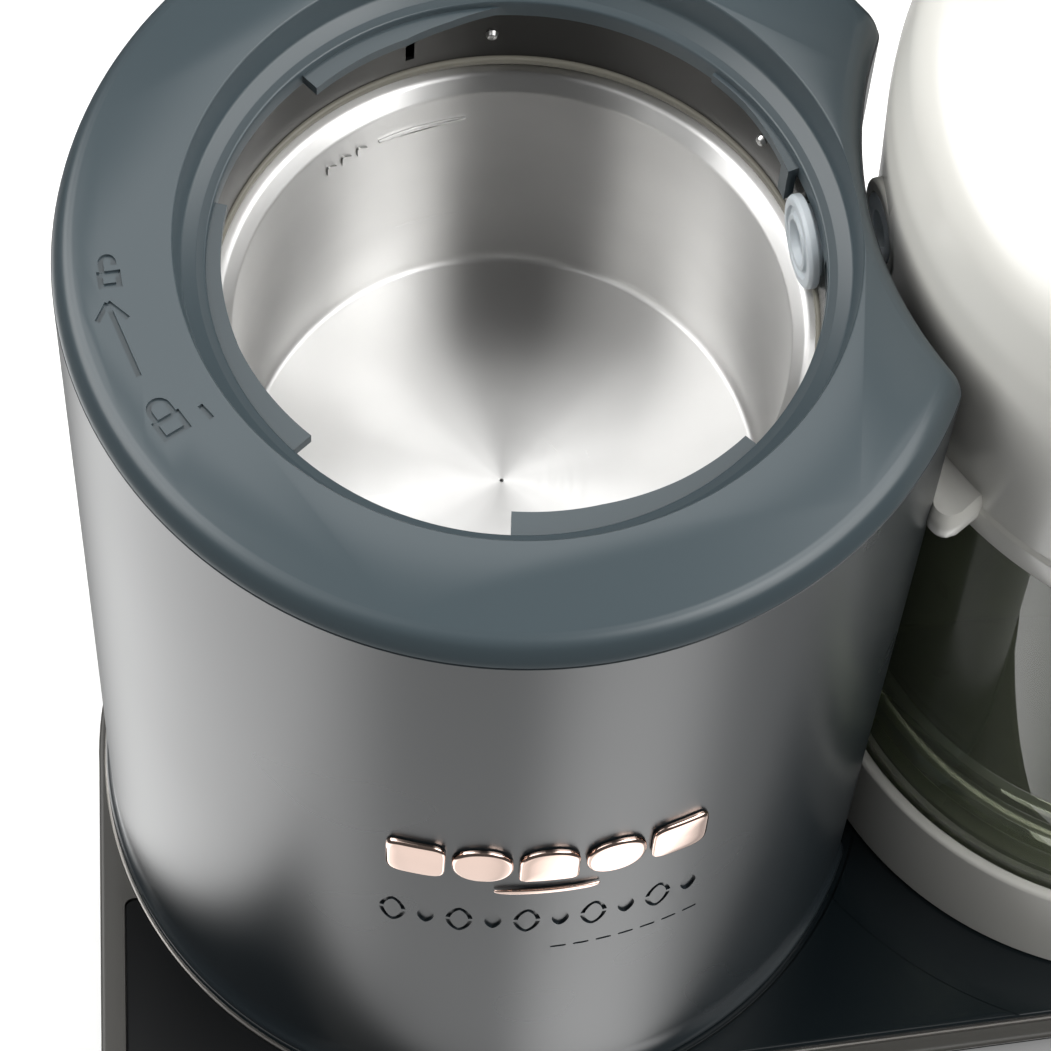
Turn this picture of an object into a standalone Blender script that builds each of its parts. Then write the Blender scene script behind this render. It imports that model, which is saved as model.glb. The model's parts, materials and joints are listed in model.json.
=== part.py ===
"""Table-top baby food maker: a steam boiler column and a blending bowl on one base.

Dimensions are written in millimetres and turned into metres as each mesh is made.
+Z is up, -Y is the front, and the origin is under the middle of the machine, at table level.
"""
import math

import bmesh
import bpy
from mathutils import Matrix, Vector

MM = 0.001
GAP = 0.3

# ---- driving dimensions ----
AXIS_SPACING = 146.8
HANDLE_REACH = 106.0
LEFT_REACH = 93.2
COLUMN_X = (LEFT_REACH - AXIS_SPACING - HANDLE_REACH) / 2
BOWL_X = COLUMN_X + AXIS_SPACING

DECK_TOP = 62.0
RING_TOP = 276.5
LID_TOP = 312.5

DECK_COLUMN_R = 83.2
DECK_BOWL_R = 80.0
BASE_LIP = 4.0
LEFT_SIDE_R = 85.0
LEFT_SIDE_AZ = 174.0
FRONT_CORNER_R = 13.0
LEDGE_TOP = 58.4
HOUSING_BOTTOM = 3.0
FLOOR_THICKNESS = 2.7
FOOT_R = 9.0
WALL = 2.6
BEZEL = 5.6
INLAY_START_Y = -24.8
INLAY_LENGTH = 48.0
INLAY_DEPTH = 1.2
PANEL_LOW = 12.0
PANEL_HIGH = 56.9
PANEL_START_X = COLUMN_X + 28.3
PANEL_END_X = BOWL_X - 4.3
PANEL_THICKNESS = 1.2
DECK_THICKNESS = 1.8
COLUMN_WAY_R = 56.0
BOSS_R = 4.2
SCREW_HOLE_R = 1.8
GLAND_X = -10.0
GLAND_Z = 22.0
PIN_X = BOWL_X - 60
PIN_WAY_R = 2.5

SHELL_FOOT_R = 82.1
SHELL_TOP_R = 84.3
SHELL_TOP = RING_TOP - 6.3
RING_R = 83.7
CUTOUT_R = 81.6
CORNER_R = 4.0
MOUTH_R = 62.0
LEDGE_R = 56.5
LUG_TOP = RING_TOP - 10.4
LUG_BOTTOM = RING_TOP - 13.0
RING_BOTTOM = RING_TOP - 6.0

TANK_R = 52.0
TANK_LIP_TOP = RING_TOP - 29.6
TANK_LIP_R = 58.2
TANK_SKIN = 0.8
TANK_FLOOR = RING_TOP - 91.7
CARRIER_THICKNESS = 3.5
HEATER_THICKNESS = 4.6
ELEMENT_R = 33.0
ELEMENT_BAR_R = 3.6
GASKET_INNER_R = 56.2
SEAL_AZ = 4.0
SEAL_Z = RING_TOP - 20.2
SEAL_REACH = 53.4
SEAL_FLANGE_R = 9.0
SEAL_NECK_R = 6.8
DUCT_REACH = 60.9
DUCT_BORE_R = 4.0
INLET_REACH = 69.4
INLET_LENGTH = 4.8

COLLAR_R = 76.0
COLLAR_TOP = DECK_TOP + 31.2
GLASS_R = 72.4
GLASS_TOP = RING_TOP - 52.5
BOWL_FLOOR = DECK_TOP + 22.0
BEARING_R = 12.1
BLADE_Z = 96.6
BLADE_THICKNESS = 1.6
HANDLE_START_R = 76.4
HANDLE_BAR_R = 8.0
HANDLE_BEND = 15.0
HANDLE_LOW = 82.0
HANDLE_HIGH = 200.0
BASKET_FLOOR = 107.0
BASKET_LIP_R = 61.8
BASKET_TOP = 214.0
BASKET_HOLE_R = 6.0
LID_FOOT = RING_TOP - 57.0
TAB_TOP = RING_TOP - 44.0
TAB_BOTTOM = RING_TOP - 52.8

MARK_Z = RING_TOP - 90.8
MARK_HEIGHT = 13.0
MARK_START_AZ = -114.6
MARK_END_AZ = -70.4
MARK_COUNT = 5
MARK_DEPTH = 1.2
MARK_BAR_DROP = 12.4

ROUND = 40
SMALL_ROUND = 16


# ---- scene and materials ----
def empty_scene():
    for old in list(bpy.data.objects):
        bpy.data.objects.remove(old, do_unlink=True)


def new_collection(name):
    collection = bpy.data.collections.new(name)
    bpy.context.scene.collection.children.link(collection)
    return collection


empty_scene()
PARTS = new_collection("baby_food_maker")
CUTTERS = new_collection("cutters")


def material(name, color, roughness, metallic=0.0, transmission=0.0):
    made = bpy.data.materials.new(name)
    made.use_nodes = True
    shader = made.node_tree.nodes["Principled BSDF"]
    shader.inputs["Base Color"].default_value = (*color, 1.0)
    shader.inputs["Roughness"].default_value = roughness
    shader.inputs["Metallic"].default_value = metallic
    shader.inputs["Transmission Weight"].default_value = transmission
    made.diffuse_color = (*color, 1.0)
    return made


SLATE = material("slate_plastic", (0.09, 0.115, 0.135), 0.35)
GREY = material("grey_plastic", (0.065, 0.062, 0.058), 0.42)
BLACK = material("black_gloss", (0.006, 0.006, 0.006), 0.08)
SILVER = material("silver_trim", (0.70, 0.71, 0.72), 0.25, 1.0)
STEEL = material("brushed_steel", (0.72, 0.72, 0.71), 0.3, 1.0)
CREAM = material("cream_plastic", (0.86, 0.85, 0.80), 0.25)
WARM_GREY = material("warm_grey_plastic", (0.36, 0.35, 0.32), 0.4)
GLASS = material("bowl_glass", (0.80, 0.84, 0.78), 0.03, 0.0, 1.0)
SILICONE = material("clear_silicone", (0.68, 0.76, 0.80), 0.35, 0.0, 0.4)
ROSE_GOLD = material("rose_gold", (0.80, 0.50, 0.38), 0.12, 1.0)
RUBBER = material("rubber", (0.02, 0.02, 0.02), 0.8)
SMOKE = material("smoke_plastic", (0.07, 0.075, 0.06), 0.3)
BOARD = material("circuit_board", (0.03, 0.16, 0.07), 0.5)
ALUMINIUM = material("aluminium", (0.62, 0.63, 0.64), 0.4, 1.0)


# ---- modelling helpers ----
def place(obj, paint, cutter):
    if cutter:
        CUTTERS.objects.link(obj)
        obj.hide_render = True
        obj.display_type = "WIRE"
    else:
        PARTS.objects.link(obj)
        obj.data.materials.append(paint)
    return obj


def from_bmesh(name, bm, paint, at, cutter):
    """Make an object from a closed mesh, with its origin at `at` and smooth round faces."""
    bmesh.ops.recalc_face_normals(bm, faces=bm.faces)
    mesh = bpy.data.meshes.new(name)
    bm.to_mesh(mesh)
    bm.free()
    mesh.shade_smooth()
    mesh.set_sharp_from_angle(angle=math.radians(30))
    obj = bpy.data.objects.new(name, mesh)
    obj.location = Vector(at) * MM
    return place(obj, paint, cutter)


def loft(name, sections, paint=None, at=(0, 0, 0), cutter=False):
    """Join outlines with the same number of points, each at its own height, and cap both ends."""
    bm = bmesh.new()
    rings = [[bm.verts.new((x * MM, y * MM, z * MM)) for x, y in outline] for outline, z in sections]
    for lower, upper in zip(rings, rings[1:]):
        count = len(lower)
        for i in range(count):
            j = (i + 1) % count
            bm.faces.new((lower[i], lower[j], upper[j], upper[i]))
    bm.faces.new(rings[0])
    bm.faces.new(rings[-1])
    return from_bmesh(name, bm, paint, at, cutter)


def prism(name, outline, bottom, top, paint=None, at=(0, 0, 0), cutter=False):
    return loft(name, [(outline, bottom), (outline, top)], paint, at, cutter)


def box(name, low, high, paint=None, cutter=False):
    """A box between two corners, with its origin in its middle."""
    size = Vector(high) - Vector(low)
    middle = (Vector(high) + Vector(low)) / 2
    bm = bmesh.new()
    bmesh.ops.create_cube(bm, size=1.0, matrix=Matrix.Diagonal((*(size * MM), 1.0)))
    return from_bmesh(name, bm, paint, middle, cutter)


def turned(name, profile, paint=None, at=(0, 0, 0), steps=ROUND, cutter=False):
    """Turn a profile of (radius, height) round the object's Z axis with a Screw modifier.

    A profile that ends on the axis stays open there, and any other profile closes on itself.
    """
    on_axis = profile[0][0] == 0 and profile[-1][0] == 0
    area = sum(a[0] * b[1] - b[0] * a[1] for a, b in zip(profile, profile[1:] + profile[:1]))
    points = profile[::-1] if area > 0 else profile
    edges = [(i, i + 1) for i in range(len(points) - 1)]
    if not on_axis:
        edges.append((len(points) - 1, 0))
    mesh = bpy.data.meshes.new(name)
    mesh.from_pydata([(r * MM, 0, z * MM) for r, z in points], edges, [])
    obj = bpy.data.objects.new(name, mesh)
    obj.location = Vector(at) * MM
    screw = obj.modifiers.new("turn", "SCREW")
    screw.steps = steps
    screw.render_steps = steps
    screw.use_merge_vertices = True
    screw.merge_threshold = 0.000001
    screw.use_normal_calculate = False
    return place(obj, paint, cutter)


def rod(name, radius, bottom, top, paint=None, at=(0, 0, 0), steps=SMALL_ROUND, cutter=False):
    return turned(name, [(0, top), (radius, top), (radius, bottom), (0, bottom)], paint, at, steps, cutter)


def tube(name, inner, outer, bottom, top, paint=None, at=(0, 0, 0), steps=ROUND):
    return turned(name, [(outer, top), (outer, bottom), (inner, bottom), (inner, top)], paint, at, steps)


def boolean(target, other, operation):
    modifier = target.modifiers.new(other.name, "BOOLEAN")
    modifier.object = other
    modifier.operation = operation
    modifier.solver = "EXACT"
    return target


def cut(target, *cutters):
    for cutter in cutters:
        boolean(target, cutter, "DIFFERENCE")
    return target


def fuse(target, *pieces):
    for piece in pieces:
        boolean(target, piece, "UNION")
    return target


def swept(name, route, radius, paint, at, resolution=2):
    """A round bar along a route, as one closed mesh with its caps welded on."""
    curve = bpy.data.curves.new(name, "CURVE")
    curve.dimensions = "3D"
    curve.bevel_depth = radius * MM
    curve.bevel_resolution = resolution
    curve.use_fill_caps = True
    spline = curve.splines.new("POLY")
    spline.points.add(len(route) - 1)
    for point, place_on in zip(spline.points, route):
        point.co = (*(Vector(place_on) * MM), 1.0)
    guide = bpy.data.objects.new(name + "_guide", curve)
    CUTTERS.objects.link(guide)
    evaluated = guide.evaluated_get(bpy.context.evaluated_depsgraph_get())
    mesh = bpy.data.meshes.new_from_object(evaluated)
    bpy.data.objects.remove(guide)
    bm = bmesh.new()
    bm.from_mesh(mesh)
    bmesh.ops.remove_doubles(bm, verts=bm.verts, dist=0.000001)
    return from_bmesh(name, bm, paint, at, False)


# ---- outlines, all counter-clockwise ----
def arc(center_x, radius, start, end, count):
    """Points on a circle whose centre is on the X axis, from one angle in degrees to another."""
    angles = [math.radians(start + (end - start) * i / count) for i in range(count + 1)]
    return [(center_x + radius * math.cos(a), radius * math.sin(a)) for a in angles]


def deck_outline(offset):
    """A circle round the column that runs into straight sides and a half circle round the bowl."""
    column_r = DECK_COLUMN_R + offset
    bowl_r = DECK_BOWL_R + offset
    meet = math.degrees(math.asin(bowl_r / column_r))
    return arc(BOWL_X, bowl_r, -90, 90, 18) + arc(COLUMN_X, column_r, meet, 360 - meet, 28)


def base_outline(offset):
    """The deck's outline grown by the base's lip, with a straight left side that runs to a round front corner."""
    column_r = DECK_COLUMN_R + BASE_LIP + offset
    bowl_r = DECK_BOWL_R + BASE_LIP + offset
    meet = math.degrees(math.asin(bowl_r / column_r))
    points = arc(BOWL_X, bowl_r, -90, 90, 18)
    for step in range(13):
        along = step / 12
        radius = column_r + (LEFT_SIDE_R + offset - column_r) * along * along
        a = math.radians(meet + (LEFT_SIDE_AZ - meet) * along)
        points.append((COLUMN_X + radius * math.cos(a), radius * math.sin(a)))
    corner_r = FRONT_CORNER_R + offset
    corner_y = corner_r - column_r
    corner_x = COLUMN_X + left_side_x(LEFT_SIDE_R - FRONT_CORNER_R, corner_y)
    for step in range(7):
        a = math.radians(LEFT_SIDE_AZ + (270 - LEFT_SIDE_AZ) * step / 6)
        points.append((corner_x + corner_r * math.cos(a), corner_y + corner_r * math.sin(a)))
    return points + arc(COLUMN_X, column_r, -90, -meet, 4)


def left_side_x(distance, y):
    """Where a line parallel to the base's left side, at a distance from the column's axis, passes this depth."""
    turn = math.radians(LEFT_SIDE_AZ)
    return (distance - y * math.sin(turn)) / math.cos(turn)


def ledge_outline(grow):
    """The dark inlay on the ledge: between the bezel on the left and the column's foot."""
    high = INLAY_START_Y + grow
    low = INLAY_START_Y - INLAY_LENGTH - grow
    side = LEFT_SIDE_R - BEZEL + grow
    points = [(COLUMN_X + left_side_x(side, y), y) for y in (high, low)]
    inner_r = DECK_COLUMN_R - 3 - grow
    start = 180 + math.degrees(math.asin(-low / inner_r))
    end = 180 + math.degrees(math.asin(-high / inner_r))
    return points + arc(COLUMN_X, inner_r, start, end, 14)


def column_outline(radius, cutout, corner=CORNER_R):
    """A circle bitten by the bowl's clearance circle, with rounded corners, about the column axis."""
    x = ((radius - corner) ** 2 - (cutout + corner) ** 2 + AXIS_SPACING ** 2) / (2 * AXIS_SPACING)
    y = math.sqrt((radius - corner) ** 2 - x * x)
    on_circle = math.degrees(math.atan2(y, x))
    on_cutout = math.degrees(math.atan2(y, x - AXIS_SPACING))
    points = arc(0, radius, on_circle, 360 - on_circle, 40)
    for center_y, start, end in ((-y, -on_circle, 180 - on_cutout), (y, on_cutout - 180, on_circle)):
        angles = [math.radians(start + (end - start) * i / 4) for i in range(1, 4)]
        corner_arc = [(x + corner * math.cos(a), center_y + corner * math.sin(a)) for a in angles]
        if center_y < 0:
            points += corner_arc + arc(AXIS_SPACING, cutout, 360 - on_cutout, on_cutout, 12)
        else:
            points += corner_arc
    return points


def sector(inner, outer, start, end, count):
    """A piece of a ring between two angles in degrees."""
    return arc(0, outer, start, end, count) + arc(0, inner, end, start, count)


def lug_outline(inner_edge, outer=LEDGE_R + 1.7):
    """A bayonet lug seen from above: its inner edge as (azimuth, radius) pairs, in rising azimuth."""
    start, end = inner_edge[0][0], inner_edge[-1][0]
    points = arc(0, outer, start, end, max(2, round((end - start) / 5)))
    for (from_az, from_r), (to_az, to_r) in reversed(list(zip(inner_edge, inner_edge[1:]))):
        steps = max(1, round((to_az - from_az) / 6))
        for step in range(steps):
            a = math.radians(to_az + (from_az - to_az) * step / steps)
            radius = to_r + (from_r - to_r) * step / steps
            points.append((radius * math.cos(a), radius * math.sin(a)))
    a = math.radians(start)
    return points + [(inner_edge[0][1] * math.cos(a), inner_edge[0][1] * math.sin(a))]


def cross_bar(obj, azimuth, reach, height, axis_x):
    """Lay a turned piece on its side, pointing outward from a vertical axis."""
    turn = math.radians(azimuth)
    obj.rotation_euler = (0, math.pi / 2, turn)
    obj.location = Vector((axis_x + reach * math.cos(turn), reach * math.sin(turn), height)) * MM
    return obj


LUGS = [[(-100, 51.1), (-82, 51.6), (-65.6, 52.8), (-49.4, 53.7)],
        [(82, 57.0), (86.5, 56.0), (94.5, 54.3), (104, 52.9), (126, 52.7)],
        [(14, 54.3), (22.6, 55.0), (31.5, 55.6), (40.3, 55.7)],
        [(-13.5, 52.8), (-6.5, 53.3)],
        [(159, 54.2), (192, 53.3), (216, 51.7)]]
STOP = [(14.4, 54.5), (17.4, 54.7)]
STOP_BOTTOM = RING_TOP - 20.5

COLUMN = (COLUMN_X, 0, 0)
BOWL = (BOWL_X, 0, 0)
BOSSES = [(COLUMN_X - 58, -52), (COLUMN_X - 46, 62), (BOWL_X + 48, -58), (BOWL_X + 48, 58)]
FEET = [(COLUMN_X - 70, -30), (COLUMN_X - 30, 70), (BOWL_X + 62, -34), (BOWL_X + 62, 34), (-10, -70), (-10, 70)]


# ---- base ----
def make_base():
    front = -(DECK_BOWL_R + BASE_LIP)
    housing = prism("base_housing", base_outline(0), HOUSING_BOTTOM, LEDGE_TOP, GREY)
    inside = prism("housing_inside", base_outline(-WALL), HOUSING_BOTTOM - 1, LEDGE_TOP - 3, cutter=True)
    column_way = rod("column_way", COLUMN_WAY_R, 50, 64, at=COLUMN, steps=ROUND, cutter=True)
    motor_way = rod("motor_way", 16, 50, 64, at=BOWL, steps=32, cutter=True)
    pin_way = rod("pin_way", PIN_WAY_R, 50, 64, at=(PIN_X, 0, 0), cutter=True)
    gland_way = rod("gland_way", 6.8, -10, 10, cutter=True)
    gland_way.rotation_euler = (math.pi / 2, 0, 0)
    gland_way.location = Vector((GLAND_X, DECK_BOWL_R + BASE_LIP - 1, GLAND_Z)) * MM
    panel_seat = box("panel_seat", (PANEL_START_X - GAP, front - 1, PANEL_LOW - GAP),
                     (PANEL_END_X + GAP, front + PANEL_THICKNESS + GAP, PANEL_HIGH + GAP), cutter=True)
    ledge_seat = prism("ledge_seat", ledge_outline(GAP), LEDGE_TOP - INLAY_DEPTH - GAP, LEDGE_TOP + 1, cutter=True)
    cut(housing, inside, column_way, motor_way, pin_way, gland_way, panel_seat, ledge_seat)
    for number, (x, y) in enumerate(BOSSES, 1):
        boss = rod(f"boss_{number}", BOSS_R, 6, LEDGE_TOP - 1.4, at=(x, y, 0), steps=12, cutter=True)
        bore = rod(f"boss_bore_{number}", SCREW_HOLE_R, 5, 20, at=(x, y, 0), steps=12, cutter=True)
        fuse(housing, boss)
        cut(housing, bore)

    box("control_panel", (PANEL_START_X, front, PANEL_LOW), (PANEL_END_X, front + PANEL_THICKNESS, PANEL_HIGH), BLACK)
    prism("ledge_panel", ledge_outline(0), LEDGE_TOP - INLAY_DEPTH, LEDGE_TOP, BLACK)
    make_underside()


def make_underside():
    """Bottom plate with its screws, six rubber feet and the gland that the power cord comes out of."""
    plate = prism("bottom_plate", base_outline(-WALL - GAP), HOUSING_BOTTOM, HOUSING_BOTTOM + FLOOR_THICKNESS, GREY)
    for number, (x, y) in enumerate(BOSSES, 1):
        cut(plate, rod(f"plate_hole_{number}", SCREW_HOLE_R, 2, 7, at=(x, y, 0), steps=12, cutter=True))
        screw = [(0, 16), (1.4, 16), (1.4, 2.7), (3.3, 2.7), (3.3, 1.2), (0, 1.2)]
        turned(f"bottom_screw_{number}", screw, STEEL, (x, y, 0), 12)
    foot = [(0, 2.7), (FOOT_R, 2.7), (FOOT_R, 0.8), (FOOT_R - 0.8, 0), (0, 0)]
    for number, (x, y) in enumerate(FEET, 1):
        turned(f"foot_{number}", foot, RUBBER, (x, y, 0), SMALL_ROUND)
    gland = turned("cord_gland", [(8.8, 1.9), (8.8, 0.3), (6.5, 0.3), (6.5, -5), (3.6, -5), (3.6, 1.9)], RUBBER,
                   steps=SMALL_ROUND)
    gland.rotation_euler = (-math.pi / 2, 0, 0)
    gland.location = Vector((GLAND_X, DECK_BOWL_R + BASE_LIP, GLAND_Z)) * MM


def make_deck():
    underneath = DECK_TOP - DECK_THICKNESS
    deck = prism("deck_cover", deck_outline(0), underneath, DECK_TOP, SLATE)
    column_way = rod("deck_column_way", COLUMN_WAY_R, 55, 66, at=COLUMN, steps=ROUND, cutter=True)
    motor_way = rod("deck_motor_way", 14, 55, 66, at=BOWL, steps=32, cutter=True)
    pin_way = rod("deck_pin_way", PIN_WAY_R, 55, 66, at=(PIN_X, 0, 0), cutter=True)
    cut(deck, column_way, motor_way, pin_way)

    trim = prism("trim_band", deck_outline(0.5), LEDGE_TOP + GAP, underneath - GAP, SILVER)
    cut(trim, prism("trim_inside", deck_outline(-2.5), 50, 70, cutter=True))


# ---- boiler column ----
def make_column():
    outer = [(column_outline(SHELL_FOOT_R, CUTOUT_R), DECK_TOP + GAP),
             (column_outline(SHELL_TOP_R, CUTOUT_R), SHELL_TOP)]
    inner = [(column_outline(SHELL_FOOT_R - WALL, CUTOUT_R + WALL), DECK_TOP - 1),
             (column_outline(SHELL_TOP_R - WALL, CUTOUT_R + WALL), SHELL_TOP + 1)]
    shell = loft("column_shell", outer, SLATE, COLUMN)
    hollow = loft("shell_hollow", inner, at=COLUMN, cutter=True)
    duct_way = rod("duct_way", 7.2, -6, 8, steps=24, cutter=True)
    cross_bar(duct_way, SEAL_AZ, 64, SEAL_Z, COLUMN_X)
    cut(shell, hollow, duct_way)

    ring = loft("top_ring", [(column_outline(RING_R, CUTOUT_R + 0.6), RING_BOTTOM),
                             (column_outline(RING_R - 0.5, CUTOUT_R + 0.8), RING_TOP - 3.0),
                             (column_outline(RING_R - 1.4, CUTOUT_R + 1.3), RING_TOP - 1.1),
                             (column_outline(RING_R - 3.2, CUTOUT_R + 2.4), RING_TOP)], SLATE, COLUMN)
    neck = rod("ring_neck", MOUTH_R + 0.15, LUG_BOTTOM, RING_TOP - 3, at=COLUMN, steps=ROUND, cutter=True)
    mouth = turned("ring_mouth", [(0, RING_TOP + 2), (MOUTH_R + 0.8, RING_TOP + 2), (MOUTH_R, RING_TOP - 0.8),
                                  (60.5, RING_TOP - 7), (57.0, RING_TOP - 8.5), (LEDGE_R, RING_TOP - 10),
                                  (LEDGE_R, LUG_BOTTOM - 2), (0, LUG_BOTTOM - 2)], at=COLUMN, cutter=True)
    fuse(ring, neck)
    cut(ring, mouth)
    stop = prism("ring_stop", lug_outline(STOP, LEDGE_R - 0.4), STOP_BOTTOM, LUG_TOP - 0.3, at=COLUMN, cutter=True)
    fuse(ring, stop)
    for number, inner_edge in enumerate(LUGS, 1):
        lug = prism(f"ring_lug_{number}", lug_outline(inner_edge), LUG_BOTTOM + 0.4, LUG_TOP, at=COLUMN, cutter=True)
        fuse(ring, lug)


def make_boiler():
    collar = tube("boiler_collar", LEDGE_R + 0.4, LEDGE_R + 1.2, RING_TOP - 27, LUG_BOTTOM - GAP, STEEL, COLUMN)
    seal_way = rod("seal_way", SEAL_NECK_R + 0.5, -6, 6, steps=24, cutter=True)
    cut(collar, cross_bar(seal_way, SEAL_AZ, 58, SEAL_Z, COLUMN_X))

    gasket = tube("tank_gasket", GASKET_INNER_R, TANK_LIP_R + 0.2, TANK_LIP_TOP + GAP, RING_TOP - 27 - GAP, CREAM, COLUMN)
    flange_way = rod("flange_way", SEAL_FLANGE_R + 0.4, -6, 6, steps=24, cutter=True)
    cut(gasket, cross_bar(flange_way, SEAL_AZ, 57, SEAL_Z, COLUMN_X))

    lip = TANK_LIP_TOP
    floor = TANK_FLOOR
    turned("tank", [(TANK_LIP_R, lip), (54.9, lip), (53.1, lip - 0.9), (TANK_R + 0.2, lip - 2.8), (TANK_R, lip - 6),
                    (TANK_R - 0.3, floor + 4), (TANK_R - 1.3, floor + 1.4), (TANK_R - 3.6, floor + 0.2),
                    (TANK_R - 6, floor), (0.6, floor - 0.6), (0.6, floor - 1.4), (TANK_R - 6, floor - 0.8),
                    (TANK_R - 2.9, floor - 0.5), (TANK_R - 0.5, floor + 1.0), (TANK_R + 0.5, floor + 4),
                    (TANK_R + 0.8, lip - 6), (TANK_R + 1.1, lip - 3.4), (54.4, lip - TANK_SKIN),
                    (TANK_LIP_R, lip - TANK_SKIN)], STEEL, COLUMN)

    carrier_top = lip - TANK_SKIN - GAP
    carrier = prism("tank_carrier", column_outline(79.8, CUTOUT_R + WALL + 1.0), carrier_top - CARRIER_THICKNESS,
                    carrier_top, GREY, COLUMN)
    cut(carrier, rod("carrier_hole", 55.2, lip - 8, lip + 4, at=COLUMN, steps=ROUND, cutter=True))

    plate_top = floor - 1.8
    plate_bottom = plate_top - HEATER_THICKNESS
    element_z = plate_bottom - GAP - ELEMENT_BAR_R
    rod("heater_plate", 45, plate_bottom, plate_top, ALUMINIUM, COLUMN, ROUND)
    route = [(x, y, element_z) for x, y in arc(0, ELEMENT_R, 110, 430, 30)]
    swept("heating_element", route, ELEMENT_BAR_R, STEEL, COLUMN)
    rod("thermostat", 9, element_z - 6, plate_bottom - GAP, ALUMINIUM, COLUMN)
    box("thermal_fuse", (COLUMN_X - 8, 16, element_z - 1), (COLUMN_X + 8, 21, plate_bottom - GAP), CREAM)


def make_steam_way():
    seal = turned("steam_seal", [(DUCT_BORE_R, 0.0), (SEAL_FLANGE_R, 0.0), (SEAL_FLANGE_R, 2.4), (SEAL_NECK_R, 2.4),
                                 (SEAL_NECK_R, 7.2), (DUCT_BORE_R, 7.2)], SILICONE, steps=28)
    cross_bar(seal, SEAL_AZ, SEAL_REACH, SEAL_Z, COLUMN_X)
    duct = turned("steam_duct", [(DUCT_BORE_R, 0.0), (6.7, 0.0), (6.7, 5.2), (DUCT_BORE_R, 5.2)], SILICONE, steps=28)
    cross_bar(duct, SEAL_AZ, DUCT_REACH, SEAL_Z, COLUMN_X)


def make_marks():
    """Raised plated pieces on the front of the column: a plain row of tiles over a short bar."""
    pitch = (MARK_END_AZ - MARK_START_AZ) / MARK_COUNT
    face_r = SHELL_FOOT_R + (SHELL_TOP_R - SHELL_FOOT_R) * (MARK_Z + 7 - DECK_TOP) / (SHELL_TOP - DECK_TOP) + GAP
    for number in range(MARK_COUNT):
        start = MARK_START_AZ + pitch * number + 0.8
        outline = sector(face_r, face_r + MARK_DEPTH, start, start + pitch - 1.6, 3)
        prism(f"badge_tile_{number + 1}", outline, MARK_Z - MARK_HEIGHT / 2, MARK_Z + MARK_HEIGHT / 2, ROSE_GOLD,
              COLUMN)
    middle = (MARK_START_AZ + MARK_END_AZ) / 2
    bar = sector(face_r, face_r + 0.9, middle - 8, middle + 8, 6)
    prism("badge_bar", bar, MARK_Z - MARK_BAR_DROP - 0.8, MARK_Z - MARK_BAR_DROP + 0.8, ROSE_GOLD, COLUMN)


# ---- drive and electronics ----
def star_outline(inner, outer, teeth):
    """A ring of teeth, each with a flat tip and a flat root."""
    points = []
    for step in range(teeth * 4):
        radius = outer if step % 4 in (1, 2) else inner
        a = 2 * math.pi * (step - 0.5) / (teeth * 4)
        points.append((radius * math.cos(a), radius * math.sin(a)))
    return points


def make_drive():
    turned("motor_can", [(30, 47), (31, 46), (31, 15), (30, 14), (4.4, 14), (4.4, 48), (12, 48), (12, 47)], STEEL,
           BOWL)
    tube("motor_mount", 12.6, 42, 48.3, 51.3, GREY, BOWL)
    rod("motor_shaft", 4, 9, 56.7, STEEL, BOWL)
    prism("drive_coupling", star_outline(7.2, 9, 6), 57, 68.4, GREY, BOWL)
    fan = prism("cooling_fan", star_outline(14, 26, 9), 9.6, 13.2, GREY, BOWL)
    cut(fan, rod("fan_bore", 4.3, 8, 15, at=BOWL, cutter=True))
    rod("interlock_pin", PIN_WAY_R - 0.5, 44, 66.5, CREAM, (PIN_X, 0, 0))
    box("interlock_switch", (PIN_X - 6, -3.5, 32), (PIN_X + 6, 3.5, 40.7), BLACK)
    box("main_board", (COLUMN_X - 50, -34, 16), (COLUMN_X + 42, 34, 17.6), BOARD)
    box("power_relay", (COLUMN_X + 6, -12, 17.9), (COLUMN_X + 34, 12, 36), BLACK)
    front = -(DECK_BOWL_R + BASE_LIP)
    box("display_board", (COLUMN_X + 36, front + 3.4, 18), (BOWL_X - 14, front + 5, 50), BOARD)


# ---- blending bowl ----
def make_bowl():
    turned("bowl_collar", [(73.5, COLLAR_TOP), (75.0, COLLAR_TOP), (COLLAR_R, COLLAR_TOP - 1.2),
                           (COLLAR_R, DECK_TOP + 1.2), (75.2, DECK_TOP + GAP), (73.2, DECK_TOP + GAP), (73.2, 70),
                           (12.6, 70), (12.6, 73.2), (73.5, 73.2)], WARM_GREY, BOWL)
    turned("bowl_glass", [(70.4, GLASS_TOP), (GLASS_R, GLASS_TOP), (GLASS_R, 128), (73.2, 126), (73.2, 121.5),
                          (71.8, 118.5), (73.0, 114.5), (73.0, 108), (71.6, 104.5), (73.0, 100), (73.0, 76),
                          (71.0, 73.5), (BEARING_R + GAP, 73.5), (BEARING_R + GAP, BOWL_FLOOR), (58, BOWL_FLOOR),
                          (65, 87.5), (68.4, 95), (69.2, 128)], GLASS, BOWL)
    flange = BOWL_FLOOR + GAP
    turned("blade_bearing", [(BEARING_R, flange), (20, flange), (20, flange + 1.3), (8, 87.5), (8, 92), (3.3, 92),
                             (3.3, 72), (10.6, 72), (10.6, 62.8), (BEARING_R, 62.8)], GREY, BOWL, 28)
    turned("blade_hub", [(0, 104), (5.5, 104), (7, 102.5), (7, 94), (3, 94), (3, 71.7), (9.8, 71.7), (9.8, 68.7),
                         (0, 68.7)], GREY, BOWL, 28)
    make_blade()
    route = [(HANDLE_START_R + x, 0, z) for x, z in handle_route()]
    swept("bowl_handle", route, HANDLE_BAR_R, WARM_GREY, BOWL, 3)


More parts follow.
